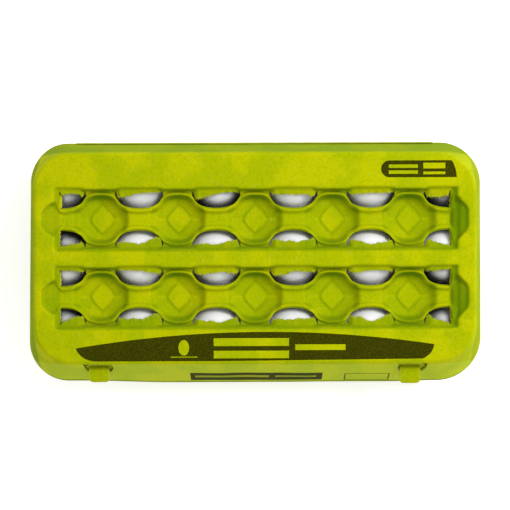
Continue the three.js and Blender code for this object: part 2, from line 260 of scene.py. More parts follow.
def grid_quads(rows, columns):
    """Faces of a grid whose first number runs along X and second along Y."""
    number = np.arange(rows * columns).reshape(rows, columns)
    corners = [number[:-1, :-1], number[1:, :-1], number[1:, 1:], number[:-1, 1:]]
    return np.stack([corner.ravel() for corner in corners], axis=1)


def sheet(upper, lower, turned=False):
    """A thin closed body between two tables of points, turned where its upper side would face down."""
    quads = grid_quads(*upper.shape[:2])
    return close_skin(upper.reshape(-1, 3), quads[:, ::-1] if turned else quads, lower.reshape(-1, 3))


def grid_border(rows, columns):
    """The grid's border points in order, anticlockwise from above, and which lie on its two ends."""
    number = np.arange(rows * columns).reshape(rows, columns)
    sides = (number[:, 0], number[-1, 1:], number[-2::-1, -1], number[0, -2:0:-1])
    on_end = np.repeat([False, True, False, True], [len(side) for side in sides])
    return np.concatenate(sides), on_end


# %% Outlines with rounded corners, and loops between them
# How much wider than its radius each corner of the rim is, at left and at right.
FRONT_CORNERS_WIDER = (-0.8, 2.4)
REAR_CORNERS_WIDER = (1.0, 2.4)


def outline_follower(x, y, on_end, straight, half, end_share=0.5):
    """A function that puts each border point on an outline with rounded corners.

    The points of the border's ends take end_share of each corner's arc, and the others the rest.
    """
    side_x = np.sign(x)
    side_y = np.sign(y)
    across = (np.abs(x) - straight[0]) / (half[0] - straight[0])
    along = (np.abs(y) - straight[1]) / (half[1] - straight[1])
    reach = np.where(on_end, along, across)
    share = np.where(on_end, end_share, 1 - end_share)
    bend = np.clip(reach, 0, 1) * share * math.pi / 2
    corner_x = np.where(on_end, np.cos(bend), np.sin(bend)) * side_x
    corner_y = np.where(on_end, np.sin(bend), np.cos(bend)) * side_y
    part = (y / straight[1] + 1) / 2

    def outline(length, front, rear, front_corner, rear_corner):
        front_corner = front_corner + np.where(side_x > 0, *FRONT_CORNERS_WIDER[::-1])
        rear_corner = rear_corner + np.where(side_x > 0, *REAR_CORNERS_WIDER[::-1])
        corner = np.where(side_y < 0, front_corner, rear_corner)
        edge = np.where(side_y < 0, front, rear)
        bent_x = side_x * (length - corner) + corner * corner_x
        bent_y = edge - side_y * corner + corner * corner_y
        straight_x = np.where(on_end, side_x * length, x / straight[0] * (length - corner))
        end_y = (front + front_corner) * (1 - part) + (rear - rear_corner) * part
        straight_y = np.where(on_end, end_y, edge)
        in_corner = reach > 0
        return np.where(in_corner, bent_x, straight_x), np.where(in_corner, bent_y, straight_y)

    return outline


def outlines_between(start_x, start_y, end_x, end_y, count):
    """Outlines in even steps from one to another, without the first."""
    for part in np.arange(1, count + 1) / count:
        yield start_x + (end_x - start_x) * part, start_y + (end_y - start_y) * part


def loop_quads(border, first, count):
    """Faces from a grid's border out through a number of loops, whose points follow the grid's."""
    loops = [border, *(first + n * len(border) + np.arange(len(border)) for n in range(count))]
    bands = [(inner, outer, np.roll(outer, -1), np.roll(inner, -1)) for inner, outer in zip(loops, loops[1:])]
    return np.concatenate([np.stack(band, axis=1) for band in bands])


print("sheet helpers ready")

# %% [markdown]
# ## Shader arithmetic
#
# A material's node tree is easier to read as sums. `Field` wraps a socket, and each operator on it
# adds a Math node, so that `1 - mask` becomes a Subtract node. `Finish` adds every other node by its
# type, first its settings and then its sockets.

# %% Nodes and fields
def feed(tree, socket, value):
    """Links a socket to a field or to another socket, or else gives it a fixed value."""
    source = getattr(value, "socket", value)
    if isinstance(source, bpy.types.NodeSocket):
        tree.links.new(source, socket)
    else:
        socket.default_value = value


def add_node(tree, kind, settings=None, sockets=None, output=0):
    node = tree.nodes.new(kind)
    for key, value in (settings or {}).items():
        setattr(node, key, value)
    for key, value in (sockets or {}).items():
        feed(tree, node.inputs[key], value)
    return node.outputs[output]


def operator(operation, swapped=False):
    """A method that adds one Math node, with its sockets swapped for `1 - mask`."""
    def method(field, *others):
        values = (field, *others)[::-1] if swapped else (field, *others)
        return field.finish.add("ShaderNodeMath", {"operation": operation}, dict(enumerate(values)))

    return method


class Field:
    """A number or colour that varies over a surface."""

    def __init__(self, finish, socket):
        self.finish = finish
        self.socket = socket

    __add__ = __radd__ = operator("ADD")
    __mul__ = __rmul__ = operator("MULTIPLY")
    __sub__ = operator("SUBTRACT")
    __rsub__ = operator("SUBTRACT", swapped=True)
    __truediv__ = operator("DIVIDE")
    __pow__ = operator("POWER")
    __abs__ = operator("ABSOLUTE")
    least = operator("MINIMUM")
    most = operator("MAXIMUM")
    wrap = operator("WRAP")
    sign = operator("SIGN")

    def step(self, low, high):
        """A smooth rise from 0 at low to 1 at high."""
        settings = {"interpolation_type": "SMOOTHSTEP"}
        return self.finish.add("ShaderNodeMapRange", settings, {0: self, 1: low, 2: high, 3: 0.0, 4: 1.0})


# %% Finishes and their colours
class Finish:
    """A material of one Principled shader and what feeds it."""

    def __init__(self, name, **uniform):
        self.material = bpy.data.materials.new(name)
        self.material.use_nodes = True
        self.tree = self.material.node_tree
        self.shader = self.tree.nodes["Principled BSDF"]
        for socket, value in uniform.items():
            self.shader.inputs[socket.replace("_", " ")].default_value = value
        self.place = self.add("ShaderNodeTexCoord", output="Object")

    def add(self, kind, settings=None, sockets=None, output=0):
        return Field(self, add_node(self.tree, kind, settings, sockets, output))

    def mark(self, name):
        """A mark of the mesh's points."""
        return self.add("ShaderNodeAttribute", {"attribute_name": name}, output="Fac")

    def axes(self):
        """Millimetres from the middle egg, along X, Y and Z."""
        split = [self.add("ShaderNodeSeparateXYZ", sockets={0: self.place}, output=n) for n in range(3)]
        x, y, z = [axis * (1 / MM) for axis in split]
        return x, y - ORIGIN_Y, z

    def noise(self, size, detail=2.0, roughness=0.5, stretch=None):
        """Fractal noise with blotches of about this size in millimetres."""
        place = self.place
        if stretch:
            place = self.add("ShaderNodeMapping", sockets={0: place, 3: stretch})
        sockets = {"Vector": place, "Scale": 1 / (size * MM), "Detail": detail, "Roughness": roughness}
        return self.add("ShaderNodeTexNoise", sockets=sockets)

    def mix(self, factor, one, other):
        return self.add("ShaderNodeMix", {"data_type": "RGBA"}, {0: factor, 6: one, 7: other}, output=2)

    def bump(self, height, strength, distance, below=None):
        sockets = {"Height": height, "Strength": strength, "Distance": distance * MM}
        if below:
            sockets["Normal"] = below
        return self.add("ShaderNodeBump", sockets=sockets)

    def finish(self, **sockets):
        for name, value in sockets.items():
            feed(self.tree, self.shader.inputs[name.replace("_", " ")], value)
        return self.material


def colour(red, green, blue):
    """A screen colour, 0 to 255, as the linear light that a shader works with."""
    linear = [((c / 255 + 0.055) / 1.055) ** 2.4 if c > 10 else c / 255 / 12.92 for c in (red, green, blue)]
    return (*linear, 1.0)


print("shader helpers ready")

# %% [markdown]
# ## The pulp's finish
#
# Dyed pulp is paper felt: two close greens in soft clouds, a finer grain of fibres, stray pale
# fibres, and small dark specks of old ink. Its shine is only the fuzz of the fibres, so it gets
# sheen and almost no gloss. The same grain feeds the colour and the bump, so light and colour agree.

# %% Sizes and colours of the pulp
YELLOW_GREEN = colour(185, 189, 0)
LEAF_GREEN = colour(161, 176, 0)
GRAIN_AND_SHADE_GREEN = colour(84, 122, 0)
PAINTED_SHADE_GREEN = colour(50, 110, 0)
PALE_FIBRE = colour(206, 208, 92)
PAINTED_LIGHT_GREEN = colour(205, 216, 0)
UNDER_LID_SHADE_GREEN = colour(52, 66, 0)
SPECK = colour(66, 76, 4)
SPECK_SPACING = 4.2
# Marks mixed into the colour: painted shade on steep faces, walls, strips and flaps; painted light on the
# deep pit floors; painted shade on lower skins and under the lid.
MARK_COLOURS = {"steep": (0.9, PAINTED_SHADE_GREEN), "sunk": (0.1, PAINTED_LIGHT_GREEN), "inside": (0.45, UNDER_LID_SHADE_GREEN)}
# A pale green for painted light on the front wall.
FRONT_PAINTED_LIGHT = colour(190, 226, 96)
INK = colour(49, 50, 0)


def pulp_surface(finish):
    """The colour and the bump of bare pulp, with painted shade and painted light from the marks."""
    clouds = finish.noise(22, detail=3)
    grain = finish.noise(1.5, detail=4, roughness=0.65)
    fuzz = finish.noise(0.45, detail=2)
    strands = finish.noise(0.9, detail=2, stretch=(1.0, 0.25, 1.0))
    blend = clouds.step(0.42, 0.6) * 0.7 + grain.step(0.35, 0.65) * 0.3
    base = finish.mix(blend, LEAF_GREEN, YELLOW_GREEN)
    # The grain's darker green is the felt's own colour.
    base = finish.mix((1 - grain.step(0.3, 0.5)) * 0.2, base, GRAIN_AND_SHADE_GREEN)
    # Painted shade and painted light, from the marks.
    for mark, (share, tone) in MARK_COLOURS.items():
        base = finish.mix(finish.mark(mark) * share, base, tone)
    base = finish.mix(strands.step(0.62, 0.76) * 0.22, base, PALE_FIBRE)
    cells = {"Vector": finish.place, "Scale": 1 / (SPECK_SPACING * MM)}
    spots = finish.add("ShaderNodeTexVoronoi", {"feature": "F1"}, cells)
    specks = 1 - spots.step(0.03, 0.09)
    base = finish.mix(specks * fuzz.step(0.42, 0.6) * 0.85, base, SPECK)
    base = finish.mix(finish.mark("torn_edge").step(0.2, 1.0) * 0.4, base, PALE_FIBRE)
    relief = grain * 0.6 + fuzz * 0.4 + strands * 0.15
    return base, relief


# %% [markdown]
# ## The print
#
# The lid is printed in one dark olive ink: a long lens under the front channel, a badge at the rear
# and a band on the front wall. Each is a field of plain shapes with bare bars, and there is no
# lettering. A shape here is a number that is positive inside it, in millimetres, so that a soft step
# across zero gives an even, slightly furry edge.

# %% Shapes of the print
FURRY = 0.12
TOP_BARS = [((-26.5, 21.5), (-56.2, -51.2)), ((-26.5, 21.5), (-64, -59.2)), ((25.5, 57.5), (-58.9, -55.3)),
            ((-54, -37), (-63.4, -62.9))]
LENS_DISC = ((-45.6, -57.2), (3.4, 5))
LENS_MIDDLE = -0.4
LENS_HALF_LENGTH = 114.8
LENS_ARCH = 9.2
# Each edge of the lens: its place at the middle, and its slope along X.
LENS_TOP = (-47.25, 0.0087)
LENS_FOOT = (-65.6, 0.0095)
LENS_END = (100.8, -55)
LENS_END_RADII = (13.6, 10.8)
LENS_END_SCALE = 8
BADGE = ((86, 130), (51, 61.8))
BADGE_DISC = ((86, 56.4), (5.4, 5.4))
# The badge's slanted end: its X and Y at the foot, and how fast it bends back.
BADGE_TIP = (128.8, 51, 0.027)
BADGE_BARS = [((85.5, 104), (57, 59.2)), ((85.5, 104), (53.2, 55.4)), ((107.5, 121.5), (56.6, 60.2)),
              ((107.5, 121.5), (52.9, 54.6))]
FRONT_RANGE = (-68.2, -67.6)
FRONT_BAND = ((-42.6, 43.9), (38.4, 52.1))
FRONT_BARS = [((-39.5, 9), (43.8, 47.2)), ((13, 40), (44.2, 46.8))]
FRONT_FRAME = ((58.4, 87.8), (37.4, 50.2))
FRAME_LINE = 0.75
TOP_RANGE = (LID_TOP - 5.2, LID_TOP - 4.2)


def rectangle(x, y, x_range, y_range):
    middle_x, half_x = sum(x_range) / 2, (x_range[1] - x_range[0]) / 2
    middle_y, half_y = sum(y_range) / 2, (y_range[1] - y_range[0]) / 2
    return (half_x - abs(x - middle_x)).least(half_y - abs(y - middle_y))


def oval(x, y, middle, radii):
    across = (x - middle[0]) / radii[0]
    along = (y - middle[1]) / radii[1]
    return (1 - (across * across + along * along) ** 0.5) * min(radii)


def lens(x, y):
    """A long field with an arched top, a straight foot and rounded ends."""
    arch = (x / LENS_HALF_LENGTH) ** 2 * -LENS_ARCH + x * LENS_TOP[1] + LENS_TOP[0] - y
    foot = y - LENS_FOOT[0] - x * LENS_FOOT[1]
    past_x = (abs(x - LENS_MIDDLE) - LENS_END[0]).most(0) / LENS_END_RADII[0]
    past_y = (LENS_END[1] - y).most(0) / LENS_END_RADII[1]
    ends = (1 - (past_x * past_x + past_y * past_y) ** 0.5) * LENS_END_SCALE
    return arch.least(foot).least(ends)


def ink_mask(finish, x, y, z):
    """Where the ink lies: the lens and the badge on the top, the band and the frame on the front."""
    soft = finish.noise(0.7, detail=3) * 0.5 - 0.25

    def inside(shape):
        return (shape + soft).step(-FURRY, FURRY)

    def union(mask, *others):
        for other in others:
            mask = mask.most(other)
        return mask

    def bars(across, along, ranges):
        return union(*[inside(rectangle(across, along, *bar)) for bar in ranges])

    bare = union(bars(x, y, TOP_BARS), inside(oval(x, y, *LENS_DISC)))
    tip, tip_y, tip_bend = BADGE_TIP
    slant = tip - x - (y - tip_y) * (y - tip_y) * tip_bend
    badge = rectangle(x, y, *BADGE).least(slant).most(oval(x, y, *BADGE_DISC))
    top_print = union(inside(lens(x, y)) * (1 - bare), inside(badge) * (1 - bars(x, y, BADGE_BARS)))
    frame_out = rectangle(x, z, *FRONT_FRAME)
    outline = inside(frame_out) * (1 - inside(frame_out - FRAME_LINE))
    front_print = union(inside(rectangle(x, z, *FRONT_BAND)) * (1 - bars(x, z, FRONT_BARS) * 0.6), outline)
    return union(top_print * z.step(*TOP_RANGE), front_print * (1 - y.step(*FRONT_RANGE)))


# %% The diamond at the bottom of a pit
DIAMOND_BEND = 1.25
DIAMOND_LINE = 0.24
DIAMOND_EDGE = 0.14


def diamond_relief(x, y):
    """The low diamond at the bottom of every pit: its edge line, the painted shade in that line, and its
    height.
    """
    across = x.wrap(HALF_PITCH, -HALF_PITCH) / DIAMOND_HALF[0]
    along = (y - y.sign() * CHANNEL_Y) / DIAMOND_HALF[1]
    past = (abs(across) ** DIAMOND_BEND + abs(along) ** DIAMOND_BEND) ** (1 / DIAMOND_BEND) - 1
    on_chain = 1 - abs(x).step(OUTER_COLUMN - 5, OUTER_COLUMN)
    line = (1 - abs(past).step(0.0, DIAMOND_LINE)) * on_chain
    # Painted shade in the edge line: darker on its left and front sides, away from the light.
    diamond_shade = (0.55 - across * 0.35 - along * 0.2).most(0.1).least(1)
    return line, line * diamond_shade, (1 - past.step(-DIAMOND_EDGE, DIAMOND_EDGE)) * on_chain


# %% Make the pulp finishes
def pulp_finish(name, printed=False):
    finish = Finish(name, Sheen_Weight=0.01, Sheen_Roughness=0.5, Sheen_Tint=(0.95, 1.0, 0.75, 1.0),
                    Specular_IOR_Level=0.025)
    base, relief = pulp_surface(finish)
    rough = 0.9
    if printed:
        x, y, z = finish.axes()
        outside = 1 - finish.mark("inside")
        # Painted light: the front wall is lightened and paled, as by light bounced from the white floor and
        # glancing reflection.
        base = finish.mix((1 - y.step(*FRONT_RANGE)) * outside * 0.17, base, FRONT_PAINTED_LIGHT)
        ink = ink_mask(finish, x, y, z) * outside
        worn = ink * (0.93 + finish.noise(0.8, detail=3).step(0.35, 0.6) * 0.07)
        base = finish.mix(worn, base, INK)
        rough = 0.9 - ink * 0.18
        line, line_shade, plateau = diamond_relief(x, y)
        # Painted shade along the diamond's edge line.
        base = finish.mix(line_shade * 0.4, base, GRAIN_AND_SHADE_GREEN)
        groove = finish.bump(plateau * 0.5 - line * 0.5, 0.8, 0.7)
    normal = finish.bump(relief, 0.5, 0.22, below=groove if printed else None)
    return finish.finish(Base_Color=base, Roughness=rough, Normal=normal)


printed_pulp = pulp_finish("printed_pulp", printed=True)
plain_pulp = pulp_finish("plain_pulp")
print("pulp finishes:", len(printed_pulp.node_tree.nodes), "and", len(plain_pulp.node_tree.nodes), "nodes")

# %% [markdown]
# ## The lid
#
# The lid's top is flat but for two sunken channels. In each, a chain of pits and bars runs between
# windows: a pit sits on every post of the tray, with a flat diamond at its bottom, and a rounded
# bead follows the chain's edge. The mesh lines follow that edge, so windows and beads stay crisp
# with few faces. A function gives the depth at any place, and the grid only samples it.

# %% Outlines of the chain, the windows and the end notches
chain_table = rounded_table(
    [(-6, 7.7), (-3, 7.3), (0, 7.15), (3, 7.3), (6, 7.7), (9, 8.5), (10.5, 9.2), (12, 10.2), (13.2, 11.4),
     (14.3, 13.1), (15.1, 14.6), (15.8, 15.5), (16.8, 16.2), (18.3, 16.9), (19.8, 17.4), (21.8, 17.7),
     (32, 17.8)],
    0.8,
)
outer_table = rounded_table([(0, 17.9), (15.4, 17.9), (17, 18.1), (20, 18.3), (32, 18.4)], 0.5)
left_notch_table = rounded_table(
    [(120, 7.3), (125.2, 7.3), (126.2, 10.8), (127.4, 12.2), (129.4, 11.2), (131.4, 10.4), (133.4, 9.4),
     (135.2, 7.6), (136.8, 6.4), (142, 6.2)],
    0.5,
)
right_notch_table = rounded_table(
    [(120, 7.3), (125.2, 7.3), (126.2, 12.6), (127.6, 15.2), (129.4, 14.8), (131, 13.6), (133.5, 11.2),
     (135.6, 9.3), (137.2, 7.4), (142, 7.2)],
    0.5,
)
ramp_table = rounded_table(
    [(120, 8.2), (125.2, 8.2), (127.6, 5.6), (129.8, 5.2), (131.6, 3.1), (134.9, 2.6), (137.0, 0),
     (142, 0)],
    0.35,
)


def post_distance(x):
    """Distance along X from the nearest post, which stand between the egg columns."""
    return np.abs(x - PITCH_X * np.clip(np.round(x / PITCH_X), -LAST_POST, LAST_POST))


def chain_half_width(x):
    along = np.abs(post_distance(x) - HALF_PITCH)
    notch = np.where(x < 0, left_notch_table(np.abs(x)), right_notch_table(np.abs(x)))
    return np.where(np.abs(x) < WINDOW_END - 0.3, chain_table(along), notch)


def window_outer(x):
    along = np.abs(post_distance(x) - HALF_PITCH)
    return np.where(np.abs(x) < OUTER_COLUMN, outer_table(along), WINDOW_OUTER)


post_width, bar_width = 2 * chain_half_width(np.array([0, HALF_PITCH]))
print(f"chain {post_width:.1f} mm wide at a post, {bar_width:.1f} mm at a bar")

# %% Depth of the lid below its flat top
# Where the last riser of an end notch starts and ends past the last window, at left and at right.
END_RISERS = ((0.3, 3.4), (1.6, 5.4))
BEAD_FADE = (-0.5, 1.6)
END_BLEND = (-0.4, 0.3)
NOTCH_SLOPE = 3.2


def past_windows(x, start, end):
    """A smooth rise from 0 to 1 over a range past the last window."""
    return smooth(WINDOW_END + start, WINDOW_END + end, np.abs(x))


def inside_edge(x, aside):
    """Distance from the chain's edge, positive on the chain."""
    nearest = (chain_half_width(x) - aside) ** 2
    for step in np.arange(EDGE_STEP, EDGE_REACH, EDGE_STEP):
        for place in (x - step, x + step):
            nearest = np.minimum(nearest, step**2 + (chain_half_width(place) - aside) ** 2)
    return np.sign(chain_half_width(x) - aside) * np.sqrt(nearest)


def strip_depth(x):
    """Depth of the strip between a window's outer edge and the crease, deeper beside the posts."""
    at_post = smooth(*POST_STRIP_RANGE, np.abs(post_distance(x) - HALF_PITCH)) * (np.abs(x) < OUTER_COLUMN)
    return STRIP_DEPTH + (POST_STRIP_DEPTH - STRIP_DEPTH) * at_post


def pit_depth(beside_post, aside):
    """A flat diamond, gentle faces round it, and a steeper wall up to the bars."""
    diamond = beside_post / DIAMOND_HALF[0] + aside / DIAMOND_HALF[1] - 1
    face = PIT_DEPTH - FACE_FALL * np.maximum(diamond, 0)
    across, along = beside_post / PIT_HALF[0], aside / PIT_HALF[1]
    ring = (across**PIT_SQUARENESS + along**PIT_SQUARENESS) ** (1 / PIT_SQUARENESS)
    wall = BAR_DEPTH + PIT_FALL * np.maximum(1 - ring, 0)
    return soft_least(face, wall, PIT_SOFTNESS)


def lid_depth(x, y, bead_height=BEAD_HEIGHT):
    """How far the lid's upper face lies below its flat top."""
    aside = np.abs(np.abs(y) - CHANNEL_Y)
    beside_post = post_distance(x)
    width = chain_half_width(x)
    inside = inside_edge(x, aside)
    pit = pit_depth(beside_post, aside)
    bead = BEAD_AT_EDGE + (1 - BEAD_AT_EDGE) * np.sin(np.clip(inside / BEAD_OUTSIDE, 0, 1) * np.pi / 2)
    bead = bead * (1 - smooth(*BEAD_INSIDE, inside))
    chain = pit - bead_height * bead * (1 - past_windows(x, *BEAD_FADE))
    # Past the last window the chain's floor climbs in steps to the flat top.
    end = past_windows(x, *END_BLEND)
    foot_end = STRIP_DEPTH * np.where(x < 0, *[1 - past_windows(x, *riser) for riser in END_RISERS])
    notch = foot_end + (ramp_table(np.abs(x)) - foot_end) * smooth(0, NOTCH_SLOPE, inside)
    chain = chain * (1 - end) + notch * end
    foot = strip_depth(x) * (1 - end) + foot_end * end
    outer = window_outer(x)
    strip = foot * (1 - smooth(RISER_START, RISER_END, aside + 0.5 * (foot - STRIP_DEPTH)))
    edge_depth = np.where(np.abs(x) < WINDOW_END, pit - bead_height * BEAD_AT_EDGE, foot_end)
    gap = np.clip((aside - width) / np.maximum(outer - width, 0.05), 0, 1)
    beyond = np.where(aside < outer, edge_depth * (1 - gap) + foot * gap, strip)
    return np.where(inside > 0, chain, beyond)


post_depth, bar_depth = lid_depth(np.array([0, HALF_PITCH]), CHANNEL_Y)
print(f"depth at a post {post_depth:.1f} mm, on a bar {bar_depth:.1f} mm")

# %% Columns and rows of the lid's grid
END_PLACES = (0.75, 1.5, 2.1, 2.8, 3.5, 4.2, 5, 5.8, 6.6, 7.4, 8.2, 9, 9.8, 10.6, 11.4, 12.1, 12.8, 13.4)
GRID_HALF_WIDTH = 48.4
BORDER_ROWS = 2
BORDER_ROW_WIDTH = 0.6
CHAIN_PARTS = (0, 0.1, 0.2, 0.29, 0.38, 0.46, 0.54, 0.61, 0.68, 0.75, 0.81, 0.86, 0.9, 0.935, 0.97, 1)
WINDOW_ROWS = 5
STRIP_ROWS = 6
FLAT_ROWS = 5


def lid_columns():
    near = np.linspace(0, WINDOW_REACH, 15)
    far = np.linspace(WINDOW_REACH, HALF_PITCH, 9)[1:]
    from_column = [side * distance for distance in (*near, *far) for side in (-1, 1)]
    places = [column + distance for column in COLUMN_X for distance in from_column]
    places = [place for place in places if abs(place) <= OUTER_COLUMN + 1e-6]
    places += [side * (OUTER_COLUMN + distance) for distance in END_PLACES for side in (-1, 1)]
    return np.array(sorted({round(float(place), 3) + 0.0 for place in places}))


def channel_offsets(x):
    """Distances of the mesh rows from a channel's middle line, on one side of it."""
    width = chain_half_width(x)[:, None]
    outer = window_outer(x)[:, None]
    chain = width * np.array(CHAIN_PARTS)
    window = width + (outer - width) * (np.arange(1, WINDOW_ROWS + 1) / WINDOW_ROWS)
    strip = outer + (CREASE - outer) * (np.arange(1, STRIP_ROWS + 1) / STRIP_ROWS)
    shoulder = np.full((len(x), 2), CREASE) + np.array([CREASE_ROUND / 2, CREASE_ROUND])
    return np.concatenate([chain, window, strip, shoulder], axis=1)


def lid_grid():
    x = lid_columns()
    offsets = channel_offsets(x)
    channel = np.concatenate([-offsets[:, :0:-1], offsets], axis=1)
    inner = CHANNEL_Y - CREASE - CREASE_ROUND
    middle = np.tile(np.linspace(-inner, inner, FLAT_ROWS + 1)[1:-1], (len(x), 1))
    border = np.tile(GRID_HALF_WIDTH - BORDER_ROW_WIDTH * np.arange(BORDER_ROWS), (len(x), 1))
    y = np.concatenate([-border, channel - CHANNEL_Y, middle, channel + CHANNEL_Y, border[:, ::-1]], axis=1)
    return np.repeat(x[:, None], y.shape[1], axis=1), y


def window_faces(x):
    """Which faces of the grid lie in a window: a table of columns by rows."""
    steps = len(CHAIN_PARTS) + WINDOW_ROWS + STRIP_ROWS + 1
    middle = (x[:-1] + x[1:]) / 2
    along = np.abs(post_distance(middle) - HALF_PITCH)
    open_columns = (along < WINDOW_REACH) & (np.abs(middle) < WINDOW_END)
    from_middle = np.abs(np.arange(2 * steps) + 0.5 - steps)
    first = len(CHAIN_PARTS) - 1
    channel = (from_middle > first) & (from_middle < first + WINDOW_ROWS)
    border = [False] * BORDER_ROWS
    open_rows = np.concatenate([border, channel, [False] * FLAT_ROWS, channel, border])
    return open_columns[:, None] & open_rows[None, :]


lid_x, lid_y = lid_grid()
print("lid grid:", lid_x.shape, "windows cover", int(window_faces(lid_x[:, 0]).sum()), "faces")

# %% [markdown]
# ## The lid's walls and lock holes
#
# From the grid's border, rings of points run over the flat top, round its edge and down the sloping
# walls to the rim. Each ring is the same outline at another size, so the corners stay round all the
# way down. The lock holes are faces left out of the front wall, with the edge pulled to a ragged
# line, as the real ones are torn open by the tabs.

# %% Rings of the lid's walls
WALL_HEIGHT = LID_TOP - RIM - LID_CLEARANCE
EDGE_INSET = 1.9
EDGE_DROP = 2.3
FLAT_RINGS = 5
EDGE_RINGS = 6
WALL_RINGS = 14
RIM_INSET = 0.9
TOP_CORNER_SMALLER = 2
LID_STRAIGHT = (118, 43)
LID_END_SHARE = 0.16
# How far the rim is pulled in, and for each pull the range over which it sets in, on which side.
FRONT_PULL = 0.05
FRONT_PULLS = [(1.35, 55, 115, -1), (0.2, 20, 50, 1), (0.65, 90, 115, 1)]
REAR_PULL = 0.2
REAR_PULLS = [(0.1, -60, 110, 1)]
LEFT_PULL = 1.1
PULL_RANGE = (40, 66)


def rim_bow(x, y):
    """How far the rim lies inside a true rectangle, as pulp pulls in a little while it dries."""
    front, rear = (
        sum((pull * smooth(start, end, side * x) for pull, start, end, side in pulls), least)
        for least, pulls in ((FRONT_PULL, FRONT_PULLS), (REAR_PULL, REAR_PULLS))
    )
    left = LEFT_PULL * smooth(-60, 70, y) * smooth(125, 148, -x)
    return left, front * smooth(*PULL_RANGE, -y) - rear * smooth(*PULL_RANGE, y)


def lid_outline(follower, drop, inset):
    part = drop / WALL_HEIGHT
    half_length = TOP_HALF_LENGTH + (HALF_LENGTH - TOP_HALF_LENGTH) * part - inset
    front = -TOP_HALF_WIDTH + (FRONT + TOP_HALF_WIDTH) * part + inset
    rear = TOP_HALF_WIDTH + (REAR - TOP_HALF_WIDTH) * part - inset
    shrink = inset * 1.6 + TOP_CORNER_SMALLER * (1 - part)
    ring_x, ring_y = follower(half_length, front, rear, FRONT_CORNER - shrink, REAR_CORNER - shrink)
    bow_x, bow_y = rim_bow(ring_x, ring_y)
    return ring_x + bow_x * part, ring_y + bow_y * part


def lid_rings(x, y, on_end):
    """Points of every ring from the grid's border to the rim."""
    half = (np.abs(x).max(), GRID_HALF_WIDTH)
    follower = outline_follower(x, y, on_end, LID_STRAIGHT, half, LID_END_SHARE)
    flat = lid_outline(follower, 0, EDGE_INSET)
    rings = [points_at(*outline, LID_TOP) for outline in outlines_between(x, y, *flat, FLAT_RINGS)]
    for n in range(1, EDGE_RINGS + 1):
        turn = n / EDGE_RINGS * math.pi / 2
        drop = EDGE_DROP * (1 - math.cos(turn))
        inset = EDGE_INSET * (1 - math.sin(turn))
        rings.append(points_at(*lid_outline(follower, drop, inset), LID_TOP - drop))
    for n in range(1, WALL_RINGS + 1):
        part = n / WALL_RINGS
        drop = EDGE_DROP + (WALL_HEIGHT - EDGE_DROP) * part
        sway = 0.25 + 0.25 * unevenness(x + 1.3 * y, drop, 34, seed=5)
        inset = sway * math.sin(part * math.pi) + RIM_INSET * part**3
        rings.append(points_at(*lid_outline(follower, drop, inset), LID_TOP - drop))
    return np.concatenate(rings)


print(f"lid walls {WALL_HEIGHT:.1f} mm high, in {FLAT_RINGS + EDGE_RINGS + WALL_RINGS} rings")

# %% Cut the lock holes
LOCK_X = 101
HOLE_HALF_WIDTH = 9.2
HOLE_LOW = 53.2
HOLE_HIGH = 67.6
HOLE_NARROWER = 1.8
HOLE_FOOT_TOP = 60
HOLE_SIDES = 2.2
HOLE_CORNERS = 1.2


def front_wall_y(z):
    return -TOP_HALF_WIDTH + (FRONT + TOP_HALF_WIDTH) * (LID_TOP - z) / WALL_HEIGHT


def ragged(place, seed, size):
    return size * (unevenness(place, 0, 2.6, seed) * 0.6 + unevenness(place, 0, 0.9, seed + 1) * 0.4)


def hole_half_width(z):
    return HOLE_HALF_WIDTH - HOLE_NARROWER * (1 - smooth(HOLE_LOW, HOLE_FOOT_TOP, z))


def cut_lock_holes(points, quads):
    """Leaves out the faces in the lock holes and pulls the edge to a ragged outline."""
    middle = points[quads].mean(axis=1)
    aside = np.abs(np.abs(middle[:, 0]) - LOCK_X)
    height = middle[:, 2]
    in_wall = (middle[:, 1] < front_wall_y(LID_TOP) + 1) & (height > HOLE_LOW) & (height < HOLE_HIGH)
    hole = in_wall & (aside < hole_half_width(height))
    rim = np.intersect1d(np.unique(quads[hole]), np.unique(quads[~hole]))
    x, z = points[rim, 0], points[rim, 2]
    side = np.sign(x)
    across = x - side * LOCK_X
    at_side = (np.abs(across) > HOLE_HALF_WIDTH - HOLE_SIDES) & (z < HOLE_HIGH - HOLE_CORNERS)
    width = hole_half_width(z) + ragged(z + across, 21, 0.35)
    new_x = np.where(at_side, side * LOCK_X + np.sign(across) * width, x)
    level = np.where(z > (HOLE_LOW + HOLE_HIGH) / 2, HOLE_HIGH, HOLE_LOW)
    new_z = np.where(at_side, z, level + ragged(x, 31, 0.7))
    shift = front_wall_y(new_z) - front_wall_y(z)
    points[rim] = np.stack([new_x, points[rim, 1] + shift, new_z], axis=1)
    return quads[~hole]


# %% Painted shade on steep faces
SLOPE_REACH = 0.25
STEEP_SLOPES = (0.8, 2.5)
STEEP_SHARE = 0.52
STEEP_SHARES = {"front": 0.3, "rear": 0.1, "right": -0.35, "left": -0.22}
RISER_RANGE = (16.8, 17.6)
RISER_LIGHTER = 0.3
GENTLE_SLOPES = ((0.08, 0.22), (0.8, 1.6))
GENTLE_SHARES = {"rear": 0.36, "front": 0.3}
GENTLE_DEPTHS = (10, 12)


